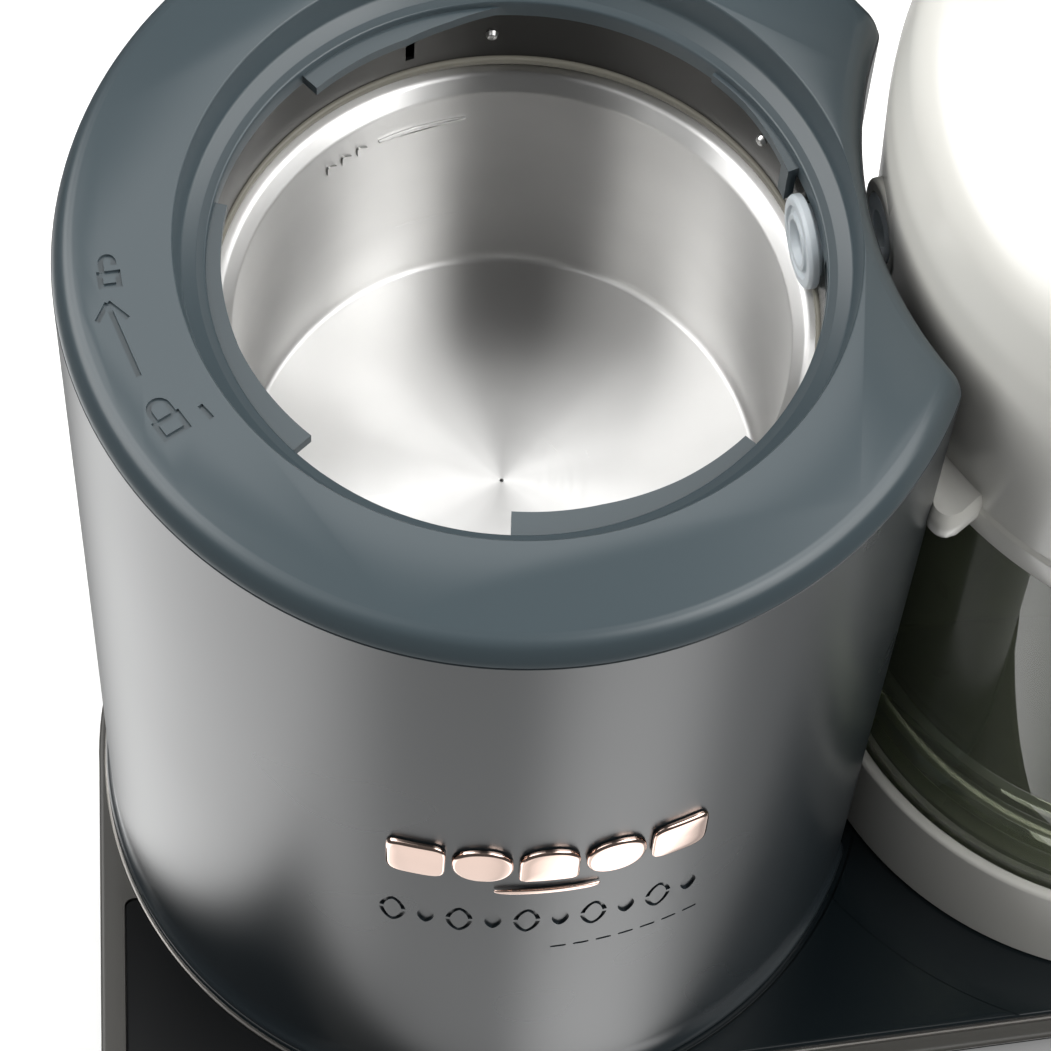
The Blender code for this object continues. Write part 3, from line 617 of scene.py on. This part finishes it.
def raised(name, outline, centre_u, height, proud, node):
    """A plated piece with a rounded edge and a softly crowned face, bent to the column."""
    bm = bmesh.new()
    layers = [(1.0, 0.3), (1.0, proud * 0.55)]
    layers += [(1 - 0.14 * (1 - math.cos(t)), proud * (0.55 + 0.45 * math.sin(t)))
               for t in (math.pi / 10 * i for i in range(1, 6))]
    layers += [(0.62, proud * 1.03), (0.36, proud * 1.05), (0.12, proud * 1.06)]
    rings = []
    for scale, depth in layers:
        ring = []
        for u, v in outline:
            z = height + v * scale
            skin_r = shell_radius(z) + depth
            a = MARK_MIDDLE + (centre_u + u * scale) / skin_r
            ring.append((skin_r * math.cos(a), skin_r * math.sin(a), z))
        rings.append(ring)
    skin(bm, rings)
    return seat(finish_mesh(name, bm, ROSE, COLUMN, 60), "base", "rose_gold", node)


def make_marks():
    pitch = math.radians((MARK_END_AZ - MARK_START_AZ) / 5) * shell_radius(MARK_Z)
    for number, kind in enumerate(("square", "disc", "arch", "disc", "square")):
        raised(f"mark_tile_{number + 1}", tile_outline(kind), pitch * (number - 2), MARK_Z, 1.25,
               f"badge_tile_{number + 1}")
    bar_z = middle("badge_bar").z / MM
    raised("mark_bar", superellipse(10.3, 0.85, 3.5, 48), 0.0, bar_z, 0.8, "badge_bar")


# ---- top ring ----
def ring_edge():
    """Sections up the ring's outer edge: a steep face breaks at a soft line and rolls over to the top."""
    face_r, cutout = SHELL_TOP_R - 0.1, CUTOUT_R + 0.3
    sections = [(column_outline(face_r, cutout), RING_TOP - 6.0)]
    inset, height, steps = 0.0, RING_TOP - 5.9, 16
    edge_length, break_at = 7.6, 0.55
    for step in range(steps):
        share = (step + 0.5) / steps
        tilt = math.radians(80 - 36 * share if share < break_at else 60 - 118 * (share - break_at))
        inset += edge_length / steps * math.cos(tilt)
        height += edge_length / steps * math.sin(tilt)
        sections.append((column_outline(face_r - inset, cutout + inset), height))
    sections[-1] = (sections[-1][0], RING_TOP)
    return sections


def make_ring():
    """The ring: its edge, a neck inside it, a stepped mouth, bayonet lugs, a stop and the pressed marks."""
    ring = loft("ring_skin", ring_edge(), SLATE, COLUMN)
    neck_r = MOUTH_R + 0.1
    neck = [(0, RING_TOP - 3), (neck_r, RING_TOP - 3), (neck_r, LUG_BOTTOM), (0, LUG_BOTTOM)]
    fuse(ring, turned("tool", neck, at=COLUMN))
    mouth = [(0, RING_TOP + 3, 0), (MOUTH_R + 4, RING_TOP + 3, 0), (MOUTH_R + 0.2, RING_TOP - 0.25, 0.9),
             (MOUTH_R - 0.9, RING_TOP - 6.8, 1.2), (58.3, RING_TOP - 8.4, 0.6),
             (LEDGE_R + 0.1, RING_TOP - 8.7, 0.5), (LEDGE_R, RING_TOP - 9.6, 0),
             (LEDGE_R, LUG_BOTTOM - 2, 0), (0, LUG_BOTTOM - 2, 0)]
    cut(ring, turned("tool", rounded(mouth), at=COLUMN))
    stop = lug_outline(STOP, LEDGE_R - 0.1)
    fuse(ring, loft("tool", [(stop, RING_TOP - 20.5), (stop, RING_TOP - 10.7)], at=COLUMN))
    for inner_edge in LUGS:
        outline = lug_outline(inner_edge)
        fuse(ring, loft("tool", [(outline, LUG_BOTTOM + 0.35), (outline, LUG_TOP)], at=COLUMN))
    for strokes in ring_marks():
        for i, outline in enumerate(strokes):
            press(ring, outline, 0.6 - 0.03 * i)
    padlock(ring, 73.3, -153.4, 2.85, 4.4, 3.6, 0.0)
    padlock(ring, 73.9, -178.8, 2.15, 3.6, 3.0, 1.4)
    resmooth(ring)
    seat(ring, "base", "slate_plastic", "top_ring")


def stroke(path):
    """A line of even width along (x, y) points, as a closed outline."""
    flat = [Vector(p) for p in path]
    left, right = [], []
    for i, here in enumerate(flat):
        ahead = flat[min(i + 1, len(flat) - 1)] - flat[max(i - 1, 0)]
        side = Vector((-ahead.y, ahead.x)).normalized() * STROKE_HALF
        left.append(tuple(here + side))
        right.append(tuple(here - side))
    return left + right[::-1]


def press(ring, outline, depth):
    cut(ring, loft("tool", [(outline, RING_TOP - depth), (outline, RING_TOP + 1)], at=COLUMN))


def ring_marks():
    """Shallow marks, each a group of strokes: an arrow between the padlocks, and a tick."""
    arrow = [stroke([polar(73.8, -164.1), polar(75.0, -176.3)]),
             stroke([polar(77.5, -173.9), polar(75.0, -176.5)]),
             stroke([polar(72.0, -173.5), polar(74.9, -176.6)])]
    tick = [stroke([polar(67.0, -155.8), polar(66.6, -152.9)])]
    return [arrow, tick]


def padlock(ring, radius, azimuth, half, body, shackle, lift):
    """Press a padlock into the ring: its foot at one azimuth, standing towards the back of the machine."""
    foot = Vector(polar(radius, azimuth))
    out = foot.normalized()
    up = Vector((out.y, -out.x))

    def at(u, v):
        return tuple(foot + out * u + up * v)

    press(ring, [at(-half, 0), at(half, 0), at(half, body), at(-half, body)], 0.6)
    inner, low, high = half - PADLOCK_RIM, PADLOCK_RIM, body - PADLOCK_RIM
    island = [at(-inner, low), at(inner, low), at(inner, high), at(-inner, high)]
    fuse(ring, loft("tool", [(island, RING_TOP - 1.5), (island, RING_TOP - 0.03)], at=COLUMN))
    bend = half - 1.0
    top_v = body + shackle - bend
    bow = [at(bend, body - 0.3), at(bend, top_v)]
    for i in range(1, 8):
        t = math.pi * i / 8
        bow.append(at(bend * math.cos(t), top_v + bend * math.sin(t)))
    bow += [at(-bend, top_v), at(-bend, body - 0.3 + lift)]
    press(ring, stroke(bow), 0.55)


# ---- boiler ----
def make_tank():
    """The tank: a rolled lip, a straight wall and a floor that sinks a little to its centre."""
    lip, floor = LIP_TOP, TANK_FLOOR
    lip_r, wall = 58.2, 0.8
    profile = [(lip_r, lip, 0), (54.6, lip, 1.6), (TANK_R + 0.15, lip - 3.2, 1.6),
               (TANK_R - 0.3, floor + 2, 0), (TANK_R - 1.0, floor, 3.2), (0.4, floor - 0.6, 0),
               (0.4, floor - TANK_DISH, 0), (TANK_R - 6, floor - 1.15, 1.0),
               (TANK_R - 0.2, floor - wall, 3.6), (TANK_R + 0.5, floor + 3, 0),
               (TANK_R + 0.95, lip - 3.6, 1.2), (54.9, lip - wall, 1.0), (lip_r, lip - wall, 0)]
    tank = turned("tank_skin", rounded(profile, 8), STEEL, COLUMN)
    seat(tank, "base", "brushed_steel", "tank")
    make_fill_mark()


def make_fill_mark():
    """The raised fill line high on the tank's wall, with three plain pointers at its end."""
    start, end, steps = FILL_START_AZ, FILL_END_AZ, 24
    low, high = FILL_Z - FILL_HALF, FILL_Z + FILL_HALF
    bm = bmesh.new()
    rings = []
    for r in FILL_DEPTHS:
        there = [polar(r, start + (end - start) * i / steps) for i in range(steps + 1)]
        back = [polar(r, end + (start - end) * i / steps) for i in range(steps + 1)]
        rings.append([(x, y, low) for x, y in there] + [(x, y, high) for x, y in back])
    skin(bm, rings)
    seat(finish_mesh("fill_line", bm, STEEL, COLUMN), "base", "brushed_steel")
    bm = bmesh.new()
    outline = rounded([(-1.3, -1.8, 0.4), (1.3, 0.0, 0.4), (-1.3, 1.8, 0.4)], 4)
    for offset in (0.0, 4.0, 8.0):
        centre = math.radians(FILL_END_AZ + 4.0 + offset)
        rings = []
        for r in FILL_DEPTHS:
            rings.append([(r * math.cos(centre - u / r), r * math.sin(centre - u / r), FILL_Z + v)
                          for u, v in outline])
        skin(bm, rings)
    seat(finish_mesh("fill_pointers", bm, STEEL, COLUMN), "base", "brushed_steel")


def make_boiler_collar():
    """The steel band under the lugs, with a way for the seal, a slot and two rivet heads."""
    inner, outer = LEDGE_R + 0.4, LEDGE_R + 1.2
    low, high = bottom("boiler_collar"), top("boiler_collar")
    band = [(outer, high), (outer, low), (inner, low), (inner, high)]
    # the band wears the darkened steel: painted shade inside the mouth
    collar = turned("collar_band", band, SHADED_STEEL, COLUMN)
    gap = sector(inner - 2, outer + 2, 100.7, 102.5, 3)
    slot = loft("tool", [(gap, RING_TOP - 24), (gap, RING_TOP - 13.9)], at=COLUMN)
    cut(collar, cross_rod(SEAL_NECK_R + 0.5, SEAL_AZ, 58, SEAL_Z, 6), slot)
    resmooth(collar)
    seat(collar, "base", "brushed_steel", "boiler_collar")
    dome = rounded([(0, 1.0, 0), (0.9, 0.85, 0.4), (1.25, 0.0, 0), (0, 0.0, 0)], 4)
    for number, (azimuth, drop) in enumerate(((85.6, 19.8), (26.8, 18.4)), 1):
        head = turned(f"collar_rivet_{number}", dome, PLAIN_STEEL, steps=24)
        aim_out(head, math.radians(azimuth), inner - 0.02, RING_TOP - drop, -math.pi / 2)
        seat(head, "base", "brushed_steel")


def make_gasket():
    """The tank's gasket, cut away where the seal's flange covers it."""
    low, high = bottom("tank_gasket"), top("tank_gasket")
    gasket = turned("gasket_bead", rounded([(58.4, high, 0.3), (58.4, low, 0.3), (GASKET_INNER_R, low, 0.6),
                                            (GASKET_INNER_R, high, 0.6)], 5), GASKET, COLUMN)
    cut(gasket, cross_rod(9.4, SEAL_AZ, 57, SEAL_Z, 6))
    resmooth(gasket)
    seat(gasket, "base", "cream_plastic", "tank_gasket")


def make_seal():
    """The soft steam seal: a stepped flange in front of the collar, and a neck behind it."""
    profile = [(4.0, SEAL_DEPTH, 0), (3.7, 1.3, 0.4), (4.4, 0.0, 0.3), (5.4, 0.0, 0.3), (5.7, 0.8, 0.2),
               (6.7, 0.8, 0.2), (7.0, 0.1, 0.3), (8.5, 0.2, 0.4), (9.0, 0.9, 0.4), (9.0, 2.3, 0.3),
               (SEAL_NECK_R, 2.4, 0.2), (SEAL_NECK_R, SEAL_DEPTH, 0)]
    seal = turned("seal_skin", rounded(profile, 4), SILICONE, steps=96)
    aim_out(seal, math.radians(SEAL_AZ), SEAL_REACH, SEAL_Z)
    seat(seal, "base", "clear_silicone", "steam_seal")


# ---- base and deck ----
def ways_down(shaft_way_r):
    """Tools for the round ways down: under the tank, round the motor's shaft and for the interlock's pin."""
    ways = [(COLUMN_X, TANK_WAY_R), (BOWL_X, shaft_way_r), (BOWL_X - PIN_REACH, PIN_WAY_R)]
    return [turned("tool", [(0, 70), (r, 70), (r, 50), (0, 50)], at=(x, 0, 0), steps=64) for x, r in ways]


def make_base():
    """The housing, open below, with seats for the front panel, the inlay and the cord's gland."""
    edge, wall, gap = 1.1, 2.6, 0.3
    sections = [(base_outline(-0.8), BASE_BOTTOM), (base_outline(0), BASE_BOTTOM + 0.8)]
    for step in range(0, 6):
        a = math.radians(90 * step / 5)
        sections.append((base_outline(-edge * (1 - math.cos(a))), LEDGE_TOP - edge * (1 - math.sin(a))))
    base = loft("base_skin", sections, GREY)
    inside = loft("tool", [(base_outline(-wall), BASE_BOTTOM - 1), (base_outline(-wall), LEDGE_TOP - 3)])
    tools = ways_down(16)
    front = -(DECK_BOWL_R + BASE_LIP)
    panel_low, panel_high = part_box("control_panel")
    left, right = panel_low.x / MM - gap, panel_high.x / MM + gap
    low, high = panel_low.z / MM - gap, panel_high.z / MM + gap
    outline = [(left, front - 2), (right, front - 2), (right, front + 1.5), (left, front + 1.5)]
    panel_seat = loft("tool", [(outline, low), (outline, high)])
    ledge_seat = loft("tool", [(ledge_outline(gap), LEDGE_TOP - 1.5), (ledge_outline(gap), LEDGE_TOP + 1)])
    gland = turned("tool", [(0, 9), (6.8, 9), (6.8, -9), (0, -9)], steps=48)
    gland.rotation_euler = (math.pi / 2, 0, 0)
    cord_exit = middle("cord_gland")
    gland.location = Vector((cord_exit.x / MM, DECK_BOWL_R + BASE_LIP - 1, cord_exit.z / MM)) * MM
    cut(base, inside, *tools, panel_seat, ledge_seat, gland)
    resmooth(base)
    seat(base, "base", "grey_plastic", "base_housing")

    ledge = loft("ledge_inlay", [(ledge_outline(0), LEDGE_TOP - 1.2), (ledge_outline(0), LEDGE_TOP - 0.35),
                                 (ledge_outline(-0.25), LEDGE_TOP - 0.1)], INLAY)
    seat(ledge, "base", "black_gloss", "ledge_panel")
    near, far = (left + gap, front, low + gap), (right - gap, front + 1.2, high - gap)
    seat(soft_box("front_panel", near, far, 0.35, BLACK), "base", "black_gloss", "control_panel")


def soft_box(name, low, high, edge, paint):
    """A plate with rounded edges."""
    bm = bmesh.new()
    size = Vector(high) - Vector(low)
    bmesh.ops.create_cube(bm, size=1.0, matrix=Matrix.Diagonal((*(size * MM), 1.0)))
    bmesh.ops.bevel(bm, geom=list(bm.edges), offset=edge * MM, segments=3, affect="EDGES", profile=0.5)
    return finish_mesh(name, bm, paint, (Vector(high) + Vector(low)) / 2, 50)


def ring_groove(radius, half, depth, at):
    """A tool for a shallow round groove in the deck."""
    points = [(radius - half, DECK_TOP + 1), (radius + half, DECK_TOP + 1),
              (radius + half * 0.6, DECK_TOP - depth), (radius - half * 0.6, DECK_TOP - depth)]
    return turned("tool", points, at=at)


def make_deck():
    """The dark deck, and the thin trim band round it."""
    low = bottom("deck_cover")
    edge = 0.7
    sections = [(deck_outline(-0.3), low), (deck_outline(0), low + 0.3)]
    for step in range(0, 5):
        a = math.radians(90 * step / 4)
        sections.append((deck_outline(-edge * (1 - math.cos(a))), DECK_TOP - edge * (1 - math.sin(a))))
    deck = loft("deck_skin", sections, DECK)
    cut(deck, *ways_down(14), ring_groove(90.0, 0.3, 0.25, BOWL), ring_groove(84.3, 0.35, 0.4, COLUMN))
    resmooth(deck)
    seat(deck, "base", "slate_plastic", "deck_cover")

    low, high = bottom("trim_band"), top("trim_band")
    sections = [(deck_outline(0.25), low), (deck_outline(0.5), low + 0.25), (deck_outline(0.5), high - 0.25),
                (deck_outline(0.25), high)]
    trim = loft("trim_skin", sections, SILVER)
    cut(trim, loft("tool", [(deck_outline(-2.5), low - 1), (deck_outline(-2.5), high + 1)]))
    resmooth(trim)
    seat(trim, "base", "silver_trim", "trim_band")


# ---- bowl ----
def make_bowl():
    """The collar with its inner shelf, the glass with three ribs round its foot, and the handle."""
    low = bottom("bowl_collar")
    shelf, shelf_top, hole_r = low + 7.7, low + 10.9, 12.6
    profile = [(73.5, COLLAR_TOP, 0.5), (COLLAR_R, COLLAR_TOP, 1.6), (COLLAR_R, low, 1.2), (73.2, low, 0.3),
               (73.2, shelf, 0.3), (hole_r, shelf, 0.3), (hole_r, shelf_top, 0.3), (73.5, shelf_top, 0.5)]
    collar = turned("collar_skin", rounded(profile, 6), WARM, BOWL)
    seat(collar, "bowl", "warm_grey_plastic", "bowl_collar")
    outside = width("bowl_glass") / 2
    side, hole_r = 72.4, 12.4
    profile = [(70.4, GLASS_TOP, 0.7), (side, GLASS_TOP, 0.7), (side, 129, 2.0), (outside, 126.5, 0.8),
               (outside, 121.5, 1.2), (71.5, 118.5, 1.5), (73.1, 115, 1.2), (73.1, 108, 1.2),
               (71.4, 104.5, 1.5), (73.0, 100.5, 1.2), (73.0, 75.5, 1.5), (71.0, 73.5, 1.0),
               (hole_r, 73.5, 0), (hole_r, 84, 0), (58, 84, 6), (67.5, 91, 8), (69.2, 128, 20)]
    glass = turned("glass_skin", rounded(profile, 6), CLEAR_GLASS, BOWL)
    seat(glass, "bowl", "bowl_glass", "bowl_glass")
    make_handle()


def make_handle():
    """A rounded grip: an oval section carried along the handle's path, flared where it meets the bowl."""
    low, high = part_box("bowl_handle")
    start_x, end_x = low.x / MM, high.x / MM
    bottom_z, top_z = low.z / MM + 8, high.z / MM - 8
    grip_x = end_x - 8
    bend = 15.0
    path = [(start_x + 4.6, bottom_z), (start_x + 8, bottom_z)]
    path += arc(grip_x - bend, bend, -90, 0, 12, bottom_z + bend)
    path += [(grip_x, bottom_z + bend + (top_z - bottom_z - 2 * bend) * i / 10) for i in range(1, 10)]
    path += arc(grip_x - bend, bend, 0, 90, 12, top_z - bend)
    path += [(start_x + 4, top_z), (start_x + 0.4, top_z)]
    bm = bmesh.new()
    rings = []
    last = len(path) - 1
    for i, (x, z) in enumerate(path):
        ahead = Vector(path[min(i + 1, last)]) - Vector(path[max(i - 1, 0)])
        ahead.normalize()
        side = Vector((ahead.y, -ahead.x))
        slimming = math.sin(math.pi * i / last)
        half_y = 7.9 - 0.2 * slimming
        half_n = 6.6 - 1.2 * slimming
        ring = []
        for u, v in superellipse(half_n, half_y, 2.6, 28):
            ring.append((x + side.x * u, v, z + side.y * u))
        rings.append(ring)
    skin(bm, rings)
    seat(finish_mesh("handle_skin", bm, WARM), "bowl", "warm_grey_plastic", "bowl_handle")


def lid_profile():
    """The lid's outside from the top's centre to the foot, and its inside back up to the centre."""
    low, seat_z = LID_FOOT, GLASS_TOP
    outer = [(0, LID_TOP, 0), (38, LID_TOP - 1.3, 60), (60, LID_TOP - 4.3, 40), (74.6, LID_TOP - 13.5, 14),
             (77.4, LID_TOP - 30, 30), (77.6, LID_TOP - 38, 60), (76.6, LID_TOP - 60, 60),
             (75.9, low + 8.6, 0.4), (76.6, low + 7.6, 0.8), (76.5, low, 0.9)]
    inner = [(73.4, low, 0.4), (73.4, seat_z + 2.9, 0.3), (69.4, seat_z + 2.9, 0.3),
             (69.4, seat_z + 5.0, 0.4), (73.6, seat_z + 6.5, 1.0), (75.0, LID_TOP - 38, 40),
             (74.8, LID_TOP - 28, 20), (71.2, LID_TOP - 15, 9), (60, LID_TOP - 7.3, 30),
             (38, LID_TOP - 4.2, 50), (0, LID_TOP - 2.8, 0)]
    return rounded(outer + inner, 6)


def make_lid():
    """The tall lid, with its hooked rib and the boss that takes the steam inlet."""
    lid = turned("lid_skin", lid_profile(), CREAM, BOWL)
    rib = lid_rib()
    boss = turned("tool", rounded([(0, 5.4, 0), (9.4, 5.4, 0.1), (9.4, 0, 0.8), (0, 0, 0)]), steps=96)
    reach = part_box("lid_steam_inlet")[0].x / MM - COLUMN_X + 0.7
    fuse(lid, rib, aim_out(boss, math.radians(SEAL_AZ), reach, SEAL_Z))
    cut(lid, cross_rod(7.0, SEAL_AZ, 72, SEAL_Z, 8))
    resmooth(lid, 32)
    seat(lid, "lid", "cream_plastic", "lid_shell")


def lid_rib():
    """A tool for the rib: its outline in layers, with softly rounded lower and upper edges."""
    bm = bmesh.new()
    rings = []
    for lift, shrink in ((0.0, 0.9), (0.6, 0.3), (1.6, 0.0), (4.2, 0.0), (5.6, 0.4), (6.8, 1.3)):
        ring = []
        for x, y in tab_outline(shrink):
            slope = (math.hypot(x, y) - 76.0) / 9.3
            ring.append((x, y, TAB_BOTTOM + lift * (1 + 0.3 * (1 - min(max(slope, 0), 1)))))
        rings.append(ring)
    skin(bm, rings)
    return finish_mesh("tool", bm, None, BOWL)


def tab_outline(shrink):
    """The lid's hooked rib seen from above: a low rib that grows into a lug beside the column's corner."""
    start, grow, full, end = 197.5, 206.0, 210.0, 213.0
    outer, steps = [], 32
    for step in range(steps + 1):
        azimuth = start + (end - start) * step / steps
        share = min(max((azimuth - grow) / (full - grow), 0), 1)
        reach = 80.9 + 4.4 * share * share * (3 - 2 * share)
        rise = min(max((azimuth - start) / 4, 0), 1)
        fall = min(max((end - azimuth) / 2.4, 0), 1)
        reach -= 5.0 * (1 - rise) ** 2 + 3.0 * (1 - math.sqrt(1 - (1 - fall) ** 2))
        a = math.radians(azimuth + shrink * 0.5 * (1 - 2 * step / steps))
        outer.append(((reach - shrink) * math.cos(a), (reach - shrink) * math.sin(a)))
    return outer + arc(0, 74.8, end - shrink * 0.5, start + shrink * 0.5, 16)


def finish_cad_nodes():
    """Give every CAD node that stays a finished material."""
    paints = {"slate_plastic": SLATE, "grey_plastic": GREY, "warm_grey_plastic": WARM, "black_gloss": BLACK,
              "silver_trim": SILVER, "brushed_steel": PLAIN_STEEL, "aluminium": ALUMINIUM,
              "cream_plastic": CREAM, "bowl_glass": CLEAR_GLASS, "clear_silicone": SILICONE,
              "rose_gold": ROSE, "rubber": RUBBER, "smoke_plastic": SMOKE, "circuit_board": BOARD}
    for row in frame["record"]["subparts"]:
        node = frame["nodes"][row["node"]]
        node.data.materials.clear()
        node.data.materials.append(paints[row["material_slot"]])


# ---- studio ----
def make_floor():
    made, _, shader = nodes_of("studio_floor")
    set_values(shader, {"Base Color": (0.93, 0.93, 0.92, 1), "Roughness": 0.9, "Specular IOR Level": 0.1,
                        "Emission Color": (1, 1, 1, 1), "Emission Strength": 0.3})
    bm = bmesh.new()
    bmesh.ops.create_grid(bm, x_segments=1, y_segments=1, size=6.0)
    floor = finish_mesh("studio_floor", bm, made)
    floor.visible_glossy = False
    floor.visible_diffuse = False
    floor.visible_transmission = False
    floor.visible_shadow = False


def outward(azimuth, elevation):
    """The direction from the object towards a place in the studio; azimuth 0 is in front of it."""
    a, e = math.radians(azimuth), math.radians(elevation)
    return Vector((math.sin(a) * math.cos(e), -math.cos(a) * math.cos(e), math.sin(e)))


def area_light(name, azimuth, elevation, distance, across, high, power):
    lamp = bpy.data.lights.new(name, "AREA")
    lamp.shape = "RECTANGLE"
    lamp.size = across
    lamp.size_y = high
    lamp.energy = power
    holder = bpy.data.objects.new(name, lamp)
    back = outward(azimuth, elevation)
    holder.location = Vector((0, 0, 0.2)) + back * distance
    holder.rotation_mode = "QUATERNION"
    holder.rotation_quaternion = (-back).to_track_quat("-Z", "Y")
    bpy.context.scene.collection.objects.link(holder)


def ramp_up(tree, value, low, high):
    """A smooth step from 0 to 1 between two values."""
    node = tree.nodes.new("ShaderNodeMapRange")
    node.interpolation_type = "SMOOTHSTEP"
    node.inputs["From Min"].default_value = low
    node.inputs["From Max"].default_value = high
    tree.links.new(value, node.inputs["Value"])
    return node.outputs["Result"]


def soft_card(tree, split, azimuth, half, low, high, level):
    """Light from a soft-edged patch of the surroundings, given by azimuth and elevation in degrees."""
    a = math.radians(azimuth)
    x, y, steep = split.outputs["X"], split.outputs["Y"], split.outputs["Z"]
    toward = math_node(tree, "ADD", math_node(tree, "MULTIPLY", x, math.cos(a)),
                       math_node(tree, "MULTIPLY", y, math.sin(a)))
    squares = math_node(tree, "ADD", math_node(tree, "MULTIPLY", x, x), math_node(tree, "MULTIPLY", y, y))
    flat = math_node(tree, "MAXIMUM", math_node(tree, "SQRT", squares, 0), 0.0001)
    facing = math_node(tree, "DIVIDE", toward, flat)
    widest = math.cos(math.radians(min(half + CARD_EDGE, 180)))
    across = ramp_up(tree, facing, widest, math.cos(math.radians(half - CARD_EDGE)))
    over = 1.0
    if low > -90:
        over = edge_ramp(tree, steep, low)
    under = math_node(tree, "SUBTRACT", 1.0, edge_ramp(tree, steep, high))
    patch = math_node(tree, "MULTIPLY", math_node(tree, "MULTIPLY", across, over), under)
    return math_node(tree, "MULTIPLY", patch, level)


def edge_ramp(tree, steep, elevation):
    """A soft step up as the direction climbs past an elevation."""
    start = math.sin(math.radians(elevation - CARD_EDGE / 2))
    return ramp_up(tree, steep, start, math.sin(math.radians(elevation + CARD_EDGE / 2)))


def make_lights():
    """A soft studio: a wide diffuser on each side, weaker ones in front and behind, and a pale table."""
    world = bpy.data.worlds.new("studio")
    bpy.context.scene.world = world
    world.use_nodes = True
    tree = world.node_tree
    background = tree.nodes["Background"]
    split = tree.nodes.new("ShaderNodeSeparateXYZ")
    tree.links.new(tree.nodes.new("ShaderNodeTexCoord").outputs["Generated"], split.inputs["Vector"])
    total = math_node(tree, "MULTIPLY", ramp_up(tree, split.outputs["Z"], -0.1, 0.5), SKY_LEVEL)
    total = math_node(tree, "ADD", total, ROOM_LEVEL)
    for card in CARDS:
        total = math_node(tree, "ADD", total, soft_card(tree, split, *card))
    tree.links.new(total, background.inputs["Strength"])
    background.inputs["Color"].default_value = (1.0, 1.0, 0.995, 1)
    area_light("key_left", -70, 48, 1.6, 0.9, 1.3, 3)


def make_camera():
    """The camera looks down at a point on the ring's front, with a long lens and a slight roll."""
    pan, roll = math.radians(CAMERA_PAN), math.radians(CAMERA_ROLL)
    target = Vector((COLUMN_X - 8.10, -58.85, RING_TOP)) * MM
    back = outward(CAMERA_PAN, CAMERA_ELEVATION)
    level = Vector((math.cos(pan), math.sin(pan), 0))
    upward = back.cross(level)
    right = level * math.cos(roll) + upward * math.sin(roll)
    over = upward * math.cos(roll) - level * math.sin(roll)
    data = bpy.data.cameras.new("camera")
    data.sensor_width = 36.0
    data.lens = CAMERA_LENS
    data.clip_start = 0.05
    data.clip_end = 20.0
    camera = bpy.data.objects.new("camera", data)
    camera.matrix_world = Matrix((right, over, back)).transposed().to_4x4()
    camera.location = target + back * CAMERA_DISTANCE
    bpy.context.scene.collection.objects.link(camera)
    bpy.context.scene.camera = camera


make_camera()
make_lights()
make_floor()
finish_cad_nodes()
make_shell()
make_marks()
make_ring()
make_tank()
make_boiler_collar()
make_gasket()
make_seal()
make_base()
make_deck()
make_bowl()
make_lid()
bpy.context.scene.view_settings.view_transform = "Standard"
